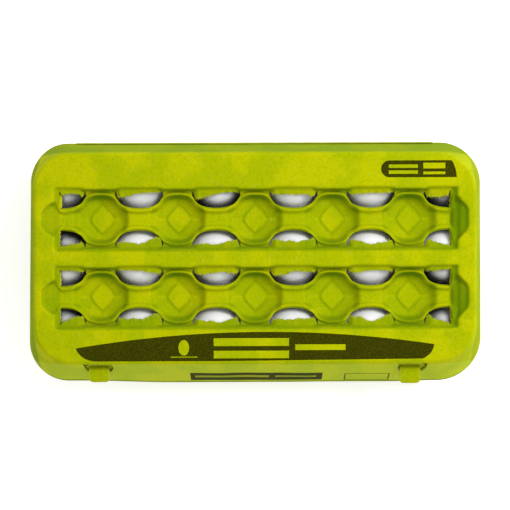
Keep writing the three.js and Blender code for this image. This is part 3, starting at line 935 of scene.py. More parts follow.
def steep_shade(x, y, depth):
    """How much painted shade darkens the felt on steep faces, least on those that look to the right, toward
    the light, and on gentle faces deep in the pits.
    """
    across = (lid_depth(x + SLOPE_REACH, y) - lid_depth(x - SLOPE_REACH, y)) / (2 * SLOPE_REACH)
    along = (lid_depth(x, y + SLOPE_REACH) - lid_depth(x, y - SLOPE_REACH)) / (2 * SLOPE_REACH)
    slope = np.maximum(np.hypot(across, along), 1e-6)
    looks = {"front": -along, "rear": along, "right": across, "left": -across}
    looks = {side: np.maximum(fall / slope, 0) for side, fall in looks.items()}
    share = STEEP_SHARE + sum(STEEP_SHARES[side] * looks[side] for side in STEEP_SHARES)
    on_riser = smooth(*RISER_RANGE, np.abs(np.abs(y) - CHANNEL_Y))
    steep = share * (1 - RISER_LIGHTER * on_riser * looks["front"]) * smooth(*STEEP_SLOPES, slope)
    gentle = smooth(*GENTLE_SLOPES[0], slope) * (1 - smooth(*GENTLE_SLOPES[1], slope))
    gentle = gentle * sum(GENTLE_SHARES[side] * looks[side] for side in GENTLE_SHARES)
    return np.maximum(steep, gentle * smooth(*GENTLE_DEPTHS, depth))


# %% Painted shade on the strips, notches and walls
NOTCH_SHADES = {"left": 0.36, "right": 0.72}
WALL_SHADES = {"rear": 0.54, "left": 0.53, "right": 0.34}
STRIP_SHADES = {"rear": 0.1, "front": 0.5}
STRIP_START = (-0.6, 0.2)
STRIP_END = 19.6
WINDOW_RIM_SHADE = 0.44
WINDOW_RIM = (14.5, 15.5, 18)
PAINTED_LIGHT_DEPTHS = (8.8, 15)


def lid_shades(points, depth):
    """How much painted shade darkens the felt at each point, and how much painted light lightens the deep
    floors of the pits.
    """
    from_channel = np.abs(lid_y) - CHANNEL_Y
    aside = np.abs(from_channel)
    toward_front = np.sign(lid_y) * from_channel < 0
    beside_window = np.abs(lid_x) < WINDOW_END + 1
    on_strip = smooth(*STRIP_START, aside - window_outer(lid_x)) * (1 - smooth(STRIP_END, CREASE, aside))
    near_rim = smooth(*WINDOW_RIM[:2], aside) * (1 - smooth(WINDOW_RIM[2], CREASE, aside)) * toward_front
    in_notch = past_windows(lid_x, -1, 1) * smooth(0.2, 1.5, depth)
    top = [
        steep_shade(lid_x, lid_y, depth),
        np.where(toward_front, STRIP_SHADES["front"], STRIP_SHADES["rear"]) * on_strip * beside_window,
        WINDOW_RIM_SHADE * near_rim * beside_window,
        np.where(lid_x > 0, NOTCH_SHADES["right"], NOTCH_SHADES["left"]) * in_notch,
    ]
    x, y = points[lid_x.size:, :2].T
    past_edge = {"rear": y - TOP_HALF_WIDTH, "left": -x - TOP_HALF_LENGTH, "right": x - TOP_HALF_LENGTH}
    walls = [WALL_SHADES[side] * smooth(-0.5, 2, past) for side, past in past_edge.items()]
    steep = np.concatenate([np.max(top, axis=0).ravel(), np.max(walls, axis=0)])
    # Painted light on the pits' deep floors, none on the walls.
    return steep, np.concatenate([smooth(*PAINTED_LIGHT_DEPTHS, depth).ravel(), np.zeros(len(x))])


# %% Build the lid
TOP_SWAY = 0.12
LID_FRAY = 0.3
BASE_BEAD = 0.4
BASE_PASSES = 5
UPRIGHT_RANGE = (1.2, 4.5)


def top_sway(x, y):
    return TOP_SWAY * (unevenness(x, y, 55, seed=2) - 1) / 2


def lid_skin(depth, passes):
    """Points of the whole lid, from a table of depths over its grid and the rings round it."""
    height = LID_TOP - soften(depth, passes) + top_sway(lid_x, lid_y)
    grid = points_at(lid_x, lid_y, height).reshape(-1, 3)
    border, on_end = grid_border(*lid_x.shape)
    rings = lid_rings(grid[border, 0], grid[border, 1], on_end)
    on_flat = smooth(LID_TOP - EDGE_DROP, LID_TOP, rings[:, 2])
    rings[:, 2] += on_flat * top_sway(rings[:, 0], rings[:, 1])
    return np.concatenate([grid, rings])


def lid_lower_skin(points, top, walls, border):
    """The lower skin, below a plainer base whose beads are low, so that it never folds over."""
    base = lid_skin(lid_depth(lid_x, lid_y, BASE_BEAD), BASE_PASSES)
    normals = skin_normals(base, np.concatenate([top, walls]))
    # Near a window the wall's thickness runs straight down, so the lower skin stays out of sight.
    aside = np.abs(np.abs(lid_y) - CHANNEL_Y)
    to_window = np.minimum(np.abs(inside_edge(lid_x, aside)), np.abs(aside - window_outer(lid_x)))
    upright = 1 - smooth(*UPRIGHT_RANGE, to_window).reshape(-1, 1)
    on_grid = normals[: lid_x.size]
    normals[: lid_x.size] = on_grid * (1 - upright) + np.array([0, 0, 1]) * upright
    lower = base - PULP_WALL * normals
    window_rim = np.setdiff1d(open_edges(top, len(points)), border)
    lower[window_rim] = points[window_rim] - (0, 0, PULP_WALL)
    level = normals[-len(border):] * (1, 1, 0)
    level = level / np.linalg.norm(level, axis=1, keepdims=True)
    lower[-len(border):] = points[-len(border):] - PULP_WALL * 1.05 * level
    return lower


def build_lid():
    depth = lid_depth(lid_x, lid_y)
    points = lid_skin(depth, 1)
    border, _ = grid_border(*lid_x.shape)
    top = grid_quads(*lid_x.shape)[~window_faces(lid_x[:, 0]).ravel()]
    walls = loop_quads(border, lid_x.size, FLAT_RINGS + EDGE_RINGS + WALL_RINGS)
    lower = lid_lower_skin(points, top, walls, border)
    steep, sunk = lid_shades(points, depth)
    quads = np.concatenate([top, cut_lock_holes(points, walls)])
    return close_skin(points, quads, lower, frayed=LID_FRAY, steep=steep, sunk=sunk)


lid_pulp = make_piece("lid_pulp", build_lid(), printed_pulp)
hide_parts("lid")
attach(lid_pulp, "lid")

# %% [markdown]
# ## Torn edges of the windows
#
# The windows are punched roughly. Along the outer edge of each, a web of wet pulp stayed behind and
# dried as a ragged flap that droops into the window. Every flap has its own width at its left,
# middle and right, and seeded waves of three sizes tear its edge.

# %% Widths of the flaps at left, middle and right
FLAP_WIDTHS = {
    ("rear", "rear"): [(2.4, 1.0, 3.8), (3.8, 1.3, 0.6), (4.8, 1.6, 0.5), (2.0, 2.4, 3.0), (2.4, 1.6, 1.3),
                       (4.2, 4.6, 3.4)],
    ("rear", "front"): [(0.6, 2.0, 3.4), (3.2, 2.0, 6.4), (2.0, 1.6, 4.6), (4.4, 3.0, 5.2), (4.0, 1.2, 4.0),
                        (4.4, 2.4, 0.6)],
    ("front", "rear"): [(0.8, 0.7, 1.8), (0.6, 0.8, 3.0), (3.6, 2.0, 2.6), (4.6, 1.5, 2.2), (2.6, 0.9, 1.4),
                        (1.6, 1.0, 0.6)],
    ("front", "front"): [(2.6, 5.0, 6.2), (4.6, 3.6, 7.6), (3.4, 1.4, 4.4), (3.6, 3.6, 4.0), (5.4, 1.8, 6.6),
                         (6.0, 2.4, 1.0)],
}
SIDE = {"rear": 1, "front": -1}
# Sides of the channel, of its edge and of the carton's end, and the flap's width.
SIDE_FLAPS = [(1, 1, -1, 1.8), (1, -1, -1, 0.5), (-1, 1, -1, 0.9), (-1, -1, -1, 0.5), (1, 1, 1, 0.5),
              (1, -1, 1, 0.3), (-1, 1, 1, 0.4), (-1, -1, 1, 0.3)]
FLAP_ROWS = 6
FLAP_PARTS = np.arange(FLAP_ROWS + 1) / FLAP_ROWS
FLAP_STEP = 0.3
FLAP_ROOT = 0.7
FLAP_GAP = 0.45
CORNER_WEB = 0.9
# From a window's end, where the flaps start and where they have their whole width.
OPEN_TIP = (0.5, 2.1)
FLAP_BURIED = 0.3
# Painted shade on the flaps, more on those along a window's front edge.
FLAP_SHADES = {"rear": 0.1, "front": 0.42}
FLAP_THICK = 0.85
FLAP_THIN = 0.25
FLAP_BELOW_STRIP = 0.3
FLAP_DROOP = 0.38
FLAP_WAVE = 0.45
FLAP_CURL = 0.3
FRAY_FROM = 0.8
FRAY = 0.45
print(len(FLAP_WIDTHS) * COLUMN_COUNT, "flaps along the windows,", len(SIDE_FLAPS), "at their ends")

# %% The surface of a torn flap
def flap_edge_width(x, widths, low, high, seed):
    """The width of a torn flap along its window."""
    part = (x - low) / (high - low)
    left, middle, right = widths
    wide = rounded_table([(-0.2, left), (0.16, left), (0.5, middle), (0.86, right), (1.2, right)], 0.08)(part)
    patchy = 0.6 + 0.6 * unevenness(x, 0, 5, seed + 3)
    torn = 0.5 * unevenness(x, 0, 7, seed) + patchy * 0.3 * unevenness(x, 0, 2.6, seed + 1)
    torn = torn + patchy * 0.22 * unevenness(x, 0, 1.4, seed + 2)
    from_end = np.minimum(x - low, high - x) - FLAP_BURIED
    wide = wide * (0.12 + 0.88 * smooth(*OPEN_TIP, from_end))
    to_end = np.clip(from_end, 0, CORNER_WEB)
    wide = np.maximum(wide, CORNER_WEB * (1 - np.sqrt(to_end / CORNER_WEB)))
    room = window_outer(x) - chain_half_width(x) - FLAP_GAP
    return np.clip(wide + torn * np.clip(wide / 2.2, 0.5, 1.2), 0.15, np.maximum(room, 0.15))


def flap_surface(channel, edge, column):
    """Upper points of one torn flap, as a table from its root to its torn edge."""
    column_x = COLUMN_X[column]
    low = max(column_x - WINDOW_REACH, -WINDOW_END) - FLAP_BURIED
    high = min(column_x + WINDOW_REACH, WINDOW_END) + FLAP_BURIED
    x = np.linspace(low, high, int((high - low) / FLAP_STEP))
    seed = 100 + 10 * column + 3 * (SIDE[channel] + 1) + (SIDE[edge] + 1) // 2
    width = flap_edge_width(x, FLAP_WIDTHS[channel, edge][column], low, high, seed)
    part = FLAP_PARTS
    inward = -FLAP_ROOT + (width[:, None] + FLAP_ROOT) * part
    aside = window_outer(x)[:, None] - inward
    droop = strip_depth(x)[:, None] + FLAP_BELOW_STRIP + FLAP_DROOP * np.maximum(inward, 0)
    droop = droop + FLAP_WAVE * part * unevenness(x, 0, 5, seed + 4)[:, None]
    droop = droop + FLAP_CURL * part**2 * (1 + unevenness(x, 0, 2.4, seed + 5)[:, None])
    jitter = 0.12 * part * unevenness(inward * 3, x[:, None], 1.1, seed + 6)
    y = SIDE[channel] * CHANNEL_Y + SIDE[edge] * aside
    return points_at(x[:, None] + jitter, y, LID_TOP - droop)


# %% Build the torn flaps
def build_flap(channel, edge, column):
    """Points, faces and marks of one torn flap, which is thinnest at its torn edge."""
    upper = flap_surface(channel, edge, column)
    thickness = (FLAP_THICK - (FLAP_THICK - FLAP_THIN) * FLAP_PARTS**2)[:, None]
    points, faces, marks = sheet(upper, upper - (0, 0, 1) * thickness, turned=SIDE[edge] > 0)
    marks["torn_edge"] = np.tile((FLAP_PARTS > FRAY_FROM) * FRAY, 2 * len(upper))
    marks["steep"] = np.full(len(points), FLAP_SHADES[edge])
    return points, faces, marks


SIDE_FLAP_ROWS = 3
SIDE_FLAP_RANGE = (7.6, WINDOW_OUTER)
SIDE_FLAP_DROP = 5.4


def build_side_flap(channel, edge, end, width, seed):
    """A torn flap along the short side of an end window."""
    aside = np.linspace(*SIDE_FLAP_RANGE, 28)
    torn = width + 0.35 * unevenness(aside, 0, 2.6, seed) + 0.2 * unevenness(aside, 0, 0.9, seed + 1)
    part = np.arange(SIDE_FLAP_ROWS + 1) / SIDE_FLAP_ROWS
    inward = (np.clip(torn, 0.2, 4)[:, None] + FLAP_ROOT) * part
    x = end * (WINDOW_END + FLAP_ROOT - inward)
    y = (channel * CHANNEL_Y + edge * aside)[:, None]
    sag = SIDE_FLAP_DROP + 0.7 * part + 0.2 * unevenness(aside, 0, 3, seed + 2)[:, None]
    upper = points_at(x, y, LID_TOP - sag)
    return sheet(upper, upper - (0, 0, 0.7), turned=end * edge > 0)


flaps = [build_flap(*place, column) for place in FLAP_WIDTHS for column in range(COLUMN_COUNT)]
for channel, edge, end, width in SIDE_FLAPS:
    flaps.append(build_side_flap(channel, edge, end, width, seed=300 + len(flaps)))
torn_edges = make_piece("torn_edges", join_parts(flaps), plain_pulp)
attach(torn_edges, "lid")

# %% [markdown]
# ## Loose fibres
#
# Torn felt ends in a fringe of single fibres. A node tree plants them: a point cloud holds where
# a fibre may root and which way it leans, and the tree picks some of the points, bends one short
# curve, gives it a thickness, and turns and scales a copy on each. All copies are made real, so the
# result is a plain mesh.

# %% The fibres' node tree
FIBRE_INPUTS = {"Length": 1.25 * MM, "Thickness": 0.075 * MM, "Share": 0.5, "Spread": 0.85, "Seed": 17}
FIBRE_ROWS = (-1, -2)
FIBRE_LEAN = -0.25
FIBRE_MIDDLE = (0.22, 0.0, 0.55)
FIBRE_END = (0.0, 0.1, 1.0)
FIBRE_SCALES = (0.3, 1.2)


def fibre_finish():
    finish = Finish("loose_fibre", Specular_IOR_Level=0.04)
    tint = finish.noise(2.0, detail=2).step(0.4, 0.6)
    return finish.finish(Base_Color=finish.mix(tint, YELLOW_GREEN, PALE_FIBRE), Roughness=0.9)


def fibre_tree(material):
    """A tree that plants bent fibres on points, with its sizes as named inputs."""
    tree = bpy.data.node_groups.new("plant_fibres", "GeometryNodeTree")
    tree.interface.new_socket("Geometry", in_out="INPUT", socket_type="NodeSocketGeometry")
    for name, value in FIBRE_INPUTS.items():
        kind = "NodeSocketInt" if isinstance(value, int) else "NodeSocketFloat"
        tree.interface.new_socket(name, in_out="INPUT", socket_type=kind)
    tree.interface.new_socket("Geometry", in_out="OUTPUT", socket_type="NodeSocketGeometry")
    given = tree.nodes.new("NodeGroupInput").outputs

    def add(kind, settings, sockets, output=0):
        return add_node(tree, kind, settings, sockets, output)

    def scaled(vector, factor):
        return add("ShaderNodeVectorMath", {"operation": "SCALE"}, {"Vector": vector, "Scale": factor})

    middle = scaled(FIBRE_MIDDLE, given["Length"])
    end = scaled(FIBRE_END, given["Length"])
    bend = add("GeometryNodeCurveQuadraticBezier", None,
               {"Resolution": 4, "Start": (0, 0, 0), "Middle": middle, "End": end})
    ring = add("GeometryNodeCurvePrimitiveCircle", None, {"Resolution": 3, "Radius": given["Thickness"]})
    fibre = add("GeometryNodeCurveToMesh", None, {"Curve": bend, "Profile Curve": ring, "Fill Caps": True})
    picked = add("FunctionNodeRandomValue", {"data_type": "BOOLEAN"},
                 {"Probability": given["Share"], "Seed": given["Seed"]}, output=3)
    stray = add("FunctionNodeRandomValue", {"data_type": "FLOAT_VECTOR"},
                {0: (-1, -1, -1), 1: (1, 1, 1), "Seed": given["Seed"]})
    lean = add("GeometryNodeInputNamedAttribute", {"data_type": "FLOAT_VECTOR"}, {"Name": "lean"})
    stray = scaled(stray, given["Spread"])
    aim = add("ShaderNodeVectorMath", {"operation": "ADD"}, {0: lean, 1: stray})
    turn = add("FunctionNodeAlignRotationToVector", {"axis": "Z"}, {"Vector": aim})
    low, high = FIBRE_SCALES
    size = add("FunctionNodeRandomValue", {"data_type": "FLOAT"},
               {2: low, 3: high, "Seed": given["Seed"]}, output=1)
    planted = add("GeometryNodeInstanceOnPoints", None,
                  {"Points": given["Geometry"], "Selection": picked, "Instance": fibre, "Rotation": turn,
                   "Scale": size})
    real = add("GeometryNodeRealizeInstances", None, {"Geometry": planted})
    done = add("GeometryNodeSetMaterial", None, {"Geometry": real, "Material": material})
    tree.links.new(done, tree.nodes.new("NodeGroupOutput").inputs["Geometry"])
    return tree


# %% Plant the fibres along the torn edges
def fibre_roots():
    """Where fibres may root, and which way each leans: into its window and a little down."""
    places, leans = [], []
    for channel, edge in FLAP_WIDTHS:
        for column in range(COLUMN_COUNT):
            upper = flap_surface(channel, edge, column)
            for row in FIBRE_ROWS:
                places.append(upper[:, row])
                leans.append(np.tile((0, -SIDE[edge], FIBRE_LEAN), (len(upper), 1)))
    return np.concatenate(places), np.concatenate(leans)


def plant_fibres():
    places, leans = fibre_roots()
    cloud = bpy.data.meshes.new("fibre_roots")
    cloud.from_pydata(((places + (0, ORIGIN_Y, 0)) * MM).tolist(), [], [])
    cloud.attributes.new("lean", "FLOAT_VECTOR", "POINT").data.foreach_set("vector", leans.ravel())
    roots = add_to_scene("fibre_roots", cloud)
    modifier = roots.modifiers.new("fibres", "NODES")
    modifier.node_group = fibre_tree(fibre_finish())
    for socket in modifier.node_group.interface.items_tree:
        if socket.name in FIBRE_INPUTS:
            modifier[socket.identifier] = FIBRE_INPUTS[socket.name]
    bpy.context.view_layer.update()
    grown = roots.evaluated_get(bpy.context.evaluated_depsgraph_get())
    fibres = add_to_scene("edge_fibres", bpy.data.meshes.new_from_object(grown))
    bpy.data.objects.remove(roots)
    triangles = sum(len(face.vertices) - 2 for face in fibres.data.polygons)
    print(f"edge_fibres: {len(places)} roots, {triangles} triangles")
    return fibres


edge_fibres = plant_fibres()
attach(edge_fibres, "lid")

# %% [markdown]
# ## The tray
#
# The tray is one sheet too: a cup for every egg, low saddles between neighbours, a tall post where
# four cups meet and a flat flange round the rim. Each of these is a height over the plan, and the
# lowest of cup and field wins, rounded where they meet, as wet pulp rounds every corner of a mould.

# %% The tray's height over the plan
POST_TOP = 48.2
SADDLE = 30
TRAY_WALL = 1.9
CUP_FIELD = 22
CUP_RADIUS = 20.4
OUTER_CUP_RISE = 3.4
POST_RANGE = (6.2, 24.5)
FLANGE_RANGE = (-13, -1.5)
TRAY_SOFTNESS = 1.6
cup_table = rounded_table([(-2, 2), (8.8, 2), (10.2, 3.4), (14.6, 14.5), (CUP_RADIUS, 27), (40, 69)], 0.7)


def tray_height(x, y):
    """The height of the tray's upper face."""
    column = np.clip(np.round(x / PITCH_X - 0.5) + 0.5, -LAST_POST - 0.5, LAST_POST + 0.5)
    row = np.clip(np.round(y / PITCH_Y), -1, 1)
    from_x = x - column * PITCH_X
    from_y = y - row * PITCH_Y
    radius = np.hypot(from_x, from_y)
    outward_x = np.where(np.abs(column) > LAST_POST, np.sign(column), 0) * from_x
    outward_y = row * from_y
    toward_rim = np.maximum(np.maximum(outward_x, outward_y) / np.maximum(radius, 1), 0)
    cup = cup_table(radius) + np.maximum(radius - CUP_RADIUS, 0) * OUTER_CUP_RISE * toward_rim**4
    post_y = np.where(y > 0, 0.5, -0.5) * PITCH_Y
    apart = np.hypot(post_distance(x), y - post_y)
    field = POST_TOP - (POST_TOP - SADDLE) * smooth(*POST_RANGE, apart)
    rim_x = np.abs(x) - (OUTER_COLUMN + CUP_FIELD)
    rim_y = np.abs(y) - (PITCH_Y + CUP_FIELD)
    flange = smooth(*FLANGE_RANGE, np.maximum(rim_x, rim_y))
    field = np.maximum(field * (1 - flange) + RIM * flange, np.where(flange > 0.98, RIM, 0))
    return soft_least(cup, field, TRAY_SOFTNESS)


# %% Build the tray
TRAY_GRID = (140, 66)
TRAY_STRAIGHT = (124, 52)
TRAY_STEP = 1.35
TRAY_RINGS = 9
LIP_ROUND = 1.3
LIP_TURNS = (30, 60, 90)
LIP_DROP = 2.4
LIP_CLEARANCE = 0.05
UNDERSIDE = 0.02
# Past this X, and near the rim, the flange lies outside the lid and gets no painted shade.
FLANGE_START = 138


def tray_rings(start, on_end):
    """Points of every ring from the grid's border over the flange and down its lip."""
    start_x, start_y = start[:, 0], start[:, 1]
    follower = outline_follower(start_x, start_y, on_end, TRAY_STRAIGHT, TRAY_GRID)

    def rim_outline(inset):
        corners = (FRONT_CORNER - inset, REAR_CORNER - inset)
        ring_x, ring_y = follower(HALF_LENGTH - inset, FRONT + inset, REAR - inset, *corners)
        bow_x, bow_y = rim_bow(ring_x, ring_y)
        return ring_x + bow_x, ring_y + bow_y

    flat = outlines_between(start_x, start_y, *rim_outline(LIP_ROUND), TRAY_RINGS)
    rings = [points_at(x, y, tray_height(x, y)) for x, y in flat]
    rings[-1][:, 2] = RIM
    for turn in map(math.radians, LIP_TURNS):
        inset = LIP_ROUND * (1 - math.sin(turn)) + LIP_CLEARANCE
        rings.append(points_at(*rim_outline(inset), RIM - LIP_ROUND * (1 - math.cos(turn))))
    return rings + [points_at(*rim_outline(LIP_CLEARANCE), RIM - LIP_DROP)]


def build_tray():
    x, y = (np.linspace(-half, half, int(2 * half / TRAY_STEP)) for half in TRAY_GRID)
    x, y = np.meshgrid(x, y, indexing="ij")
    grid = points_at(x, y, tray_height(x, y)).reshape(-1, 3)
    border, on_end = grid_border(*x.shape)
    rings = tray_rings(grid[border], on_end)
    points = np.concatenate([grid, *rings])
    quads = np.concatenate([grid_quads(*x.shape), loop_quads(border, len(grid), len(rings))])
    lower = points - TRAY_WALL * skin_normals(points, quads)
    lower[-len(border):, 2] = RIM - LIP_DROP
    lower[:, 2] = np.maximum(lower[:, 2], UNDERSIDE)
    past_ends = np.abs(points[:, 0]) > FLANGE_START
    # The inside mark paints shade on the tray's faces under the lid.
    return close_skin(points, quads, lower, inside=1 - smooth(RIM - 8, RIM - 1, points[:, 2]) * past_ends)


tray_pulp = make_piece("tray_pulp", build_tray(), plain_pulp)
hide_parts("tray")
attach(tray_pulp, "tray")

# %% [markdown]
# ## The lock flap
#
# A flap stands along the tray's front edge, inside the lid. Its two tabs pass through the lid's
# holes and fold down over the front wall, which keeps the carton shut. Flap and tabs are thin
# sheets, each a small grid that is given its thickness.

# %% Build the lock flap and its tabs
FLAP_HALF_LENGTH = 117.5
FLAP_TOP = 60.9
FLAP_THICKNESS = 1.7
FLAP_BEHIND_WALL = PULP_WALL * 1.1 + 0.5
FLAP_END = 106
FLAP_END_DROP = 9
TAB_HALF_WIDTH = 6.5
TAB_CORNER = 3.2
TAB_CROWN = 0.25
TAB_PATH = [(-65.8, 56.2), (-68.2, 56.9), (-69.8, 58.2), (-71.3, 59.7), (-72.6, 60.1), (-73.4, 59.6),
            (-74.4, 59.3), (-77, 58.6), (-79.6, 57.8), (-81.3, 57.15), (-82.5, 56.2)]
# Each tab's middle, and how much shorter it is.
TABS = [(-101.0, 2.2), (99.9, 0.9)]
TIP_SHARES = (0.25, 0.55, 0.85, 1)


def flap_wall():
    x = np.linspace(-FLAP_HALF_LENGTH, FLAP_HALF_LENGTH, 120)
    part = np.linspace(0, 1, 14)
    top = FLAP_TOP - FLAP_END_DROP * smooth(FLAP_END, FLAP_HALF_LENGTH, np.abs(x))
    low = RIM + LID_CLEARANCE
    z = low + (top[:, None] - low) * part
    y = front_wall_y(z) + FLAP_BEHIND_WALL + 0.2 * unevenness(x[:, None], z, 40, seed=8)
    upper = points_at(x[:, None], y, z)
    return sheet(upper, upper + (0, FLAP_THICKNESS, 0))


def lock_tab(middle_x, shorter):
    """One tab: a tongue that follows its path in the Y-Z plane and ends in rounded corners."""
    path = np.array(TAB_PATH)
    path[-len(TIP_SHARES):, 0] += shorter * np.array(TIP_SHARES)
    length = np.concatenate([[0], np.cumsum(np.linalg.norm(np.diff(path, axis=0), axis=1))])
    steps = np.linspace(0, length[-1], 34)
    y = np.interp(steps, length, path[:, 0])
    z = np.interp(steps, length, path[:, 1])
    to_tip = np.clip((TAB_CORNER - (length[-1] - steps)) / TAB_CORNER, 0, 1)
    half = TAB_HALF_WIDTH - TAB_CORNER * (1 - np.sqrt(1 - to_tip**2)) * 0.8
    half = half + 0.15 * unevenness(steps, middle_x, 3, seed=40)
    across = np.linspace(-1, 1, 17)
    x = middle_x + half[:, None] * across
    crown = TAB_CROWN * (1 - across**2) + 0.15 * unevenness(x, steps[:, None], 5, seed=44)
    upper = points_at(x, y[:, None], z[:, None] + crown - 0.2)
    return sheet(upper, upper + (0, 0.45, -FLAP_THICKNESS))


flap_pulp = make_piece("flap_pulp", join_parts([flap_wall(), *[lock_tab(*tab) for tab in TABS]]), plain_pulp)
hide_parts("lock_flap")
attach(flap_pulp, "tray")

# %% [markdown]
# ## The living hinge
#
# Lid and tray are one sheet along the rear rim, pressed thin so that it bends. This strip spans the
# gap that the solids keep there.

# %% Build the hinge strip
HINGE_HALF_LENGTH = 118
HINGE_LOW = RIM - 1.2
HINGE_HIGH = RIM + 1.5
HINGE_OUT = REAR - 0.1
HINGE_THICKNESS = 0.8
HINGE_CREASE = 0.35


def build_hinge():
    x = np.linspace(HINGE_HALF_LENGTH, -HINGE_HALF_LENGTH, 90)
    z = np.linspace(HINGE_LOW, HINGE_HIGH, 12)
    x, z = np.meshgrid(x, z, indexing="ij")
    crease = HINGE_CREASE * np.exp(-(((z - RIM - 0.15) / 0.5) ** 2))
    y = HINGE_OUT - crease - 0.1 * (1 + unevenness(x, z, 9, seed=12)) / 2
    upper = points_at(x, y, z)
    return sheet(upper, upper - (0, HINGE_THICKNESS, 0))


hinge_strip = make_piece("hinge_strip", build_hinge(), plain_pulp)
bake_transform(hinge_strip)

# %% [markdown]
# ## The eggs
#
# A hen's egg is a body of revolution, blunter at one end. Its outline here is a circle whose radius
# shrinks towards the narrow end, which stands down in the cup. Every egg is a little different in
# girth, and its shell has a silky sheen with fine pores.

# %% Shell finish
SHELL_WHITE = colour(248, 249, 252)
SHELL_COOL = colour(243, 243, 247)
SHELL_PORE = colour(222, 214, 204)
SHELL_PAINTED_SHADE = colour(6, 14, 2)
SHADOW_REACH = 14
# The shares of open sky round a place at which a shell's painted shade is full and at which it is gone, and a
# limit for the second.
OPEN_SHARES = (0.24, 0.48)
OPEN_AIR = 0.84


def shell_finish():
    finish = Finish("egg_shell", Specular_IOR_Level=0.4, Subsurface_Weight=0.06,
                    Subsurface_Radius=(0.004, 0.003, 0.002))
    clouds = finish.noise(16, detail=3)
    pores = finish.noise(0.5, detail=2)
    base = finish.mix(clouds.step(0.3, 0.7), SHELL_COOL, SHELL_WHITE)
    base = finish.mix(pores.step(0.66, 0.78) * 0.12, base, SHELL_PORE)
    # Painted shade: the shell's colour turns near black where the occlusion node finds little open sky, and
    # the inside mark sets how far each shell's painted shade reaches.
    inside = finish.mark("inside")
    around = {"Distance": SHADOW_REACH * MM}
    open_share = finish.add("ShaderNodeAmbientOcclusion", {"samples": 8}, around, output="AO")
    fully_lit = (inside * 0.5 + OPEN_SHARES[1]).least(OPEN_AIR)
    lit = open_share.step(inside * 0.2 + OPEN_SHARES[0], fully_lit)
    base = finish.mix((1 - lit) * 0.96, base, SHELL_PAINTED_SHADE)
    normal = finish.bump(pores, 0.18, 0.06)
    return finish.finish(Base_Color=base, Roughness=0.42 + clouds * 0.1, Normal=normal)


egg_shell = shell_finish()

# %% Build the eggs
EGG_RADIUS = 21.3
GIRTH_SPREAD = 0.2
EGG_TAPER = 0.13
EGG_SIDES = 56
EGG_STEPS = 36
# How much painted shade each shell gets, at its rear and at its front: higher is darker.
OPEN_SHADE = (-0.45, -0.2)
DEEP_SHADES = {"a1": (0.7, 0.7), "b1": (1.7, 0.55), "c1": (0.7, 0.7), "a6": (1.1, 1.1), "b6": (-0.3, 1.15),
               "c6": (0.55, 0.55), "a3": (-0.3, 0.6), "b4": (-0.45, 0.2), "b3": (-0.45, 0)}


def build_egg(x, y, radius, low, high, rear_shade, front_shade):
    """A closed shell with a point at each pole, from quads and two fans."""
    turns = np.arange(EGG_SIDES) * 2 * np.pi / EGG_SIDES
    points = [(x, y, low)]
    for n in range(1, EGG_STEPS):
        angle = math.pi * n / EGG_STEPS
        across = radius * math.sin(angle) * (1 - EGG_TAPER * math.cos(angle))
        level = low + (high - low) / 2 * (1 - math.cos(angle))
        points += [(x + across * math.cos(t), y + across * math.sin(t), level) for t in turns]
    points.append((x, y, high))
    faces = []
    for k in range(EGG_SIDES):
        following = (k + 1) % EGG_SIDES
        faces.append((0, 1 + following, 1 + k))
        for here in range(1, 1 + (EGG_STEPS - 2) * EGG_SIDES, EGG_SIDES):
            there = here + EGG_SIDES
            faces.append((here + k, here + following, there + following, there + k))
        faces.append((there + k, there + following, len(points) - 1))
    # The inside mark carries the shell's painted shade, blended from its front to its rear.
    toward_rear = smooth(-8, 8, np.array(points)[:, 1] - y)
    return points, faces, {"inside": front_shade + (rear_shade - front_shade) * toward_rear}


for row_index, row in enumerate(ROW_NAMES):
    for column in range(1, COLUMN_COUNT + 1):
        place = f"{row}{column}"
        node = f"egg_{place}"
        low, high = box_mm(node)
        middle_x, middle_y, _ = egg_middle(row, column) - (0, ORIGIN_Y, 0)
        wobble = math.sin(12.9898 * (row_index + 1) + 78.233 * column)
        girth = EGG_RADIUS - GIRTH_SPREAD * (1 + wobble)
        shade = DEEP_SHADES.get(place, OPEN_SHADE)
        shape = build_egg(middle_x, middle_y, girth, low[2], high[2], *shade)
        shell = make_piece(f"shell_{place}", shape, egg_shell)
        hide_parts(node)
        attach(shell, "tray")

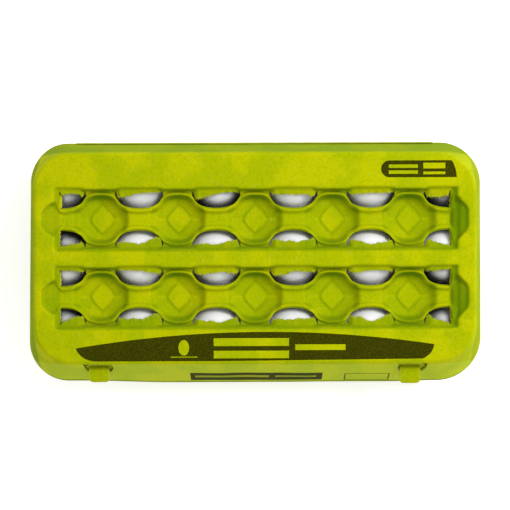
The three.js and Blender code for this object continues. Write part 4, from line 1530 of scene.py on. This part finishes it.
# %% [markdown]
# ## Stage, light and camera
#
# The light is a studio's: one broad soft source above, to the right and behind, and a pale room that
# fills the shadows. The camera hangs straight over the lid, far enough away to look down its walls.

# %% Floor
FLOOR_SIZE = 3.0


def build_floor():
    finish = Finish("floor_paper", Emission_Strength=0.5)
    grain = finish.noise(3, detail=3)
    base = finish.mix(grain, colour(250, 250, 250), colour(253, 253, 253))
    mesh = bpy.data.meshes.new("floor")
    half = FLOOR_SIZE / 2
    corners = [(-half, -half, 0), (half, -half, 0), (half, half, 0), (-half, half, 0)]
    mesh.from_pydata(corners, [], [(0, 1, 2, 3)])
    mesh.materials.append(finish.finish(Base_Color=base, Roughness=0.8))
    return add_to_scene("floor", mesh)


floor = build_floor()
print(f"floor {FLOOR_SIZE} m wide")

# %% Lights
def softbox(name, place, aim, size, power):
    lamp = bpy.data.lights.new(name, "AREA")
    lamp.shape = "SQUARE"
    lamp.size = size
    lamp.energy = power
    light = add_to_scene(name, lamp)
    light.location = place
    direction = Vector(aim) - Vector(place)
    light.rotation_euler = direction.to_track_quat("-Z", "Y").to_euler()
    return light


key = softbox("key", (0.75, 0.45, 1.15), (0, 0, 0.05), 0.55, 13.2)
world = bpy.data.worlds.new("studio")
bpy.context.scene.world = world
world.use_nodes = True
room = world.node_tree.nodes["Background"].inputs
room["Color"].default_value = (1.0, 1.0, 1.0, 1.0)
room["Strength"].default_value = 0.62
bpy.context.scene.view_settings.view_transform = "Standard"
print(f"key light {key.data.energy:.1f} W, room {room['Strength'].default_value:.2f}")

# %% Camera
CAMERA_HEIGHT = 0.8
LENS = 88.6
FRAME_PIXELS = 510
CAMERA_TURN = math.radians(-0.2)
CAMERA_SHIFT = 2.8

lens_data = bpy.data.cameras.new("overhead_camera")
lens_data.lens = LENS
lens_data.sensor_width = 36
lens_data.shift_y = CAMERA_SHIFT / FRAME_PIXELS
camera = add_to_scene("overhead_camera", lens_data)
camera.location = (0, ORIGIN_Y * MM, LID_TOP * MM + CAMERA_HEIGHT)
camera.rotation_euler = (0, 0, CAMERA_TURN)
bpy.context.scene.camera = camera
print("camera height", round(camera.location.z, 3))
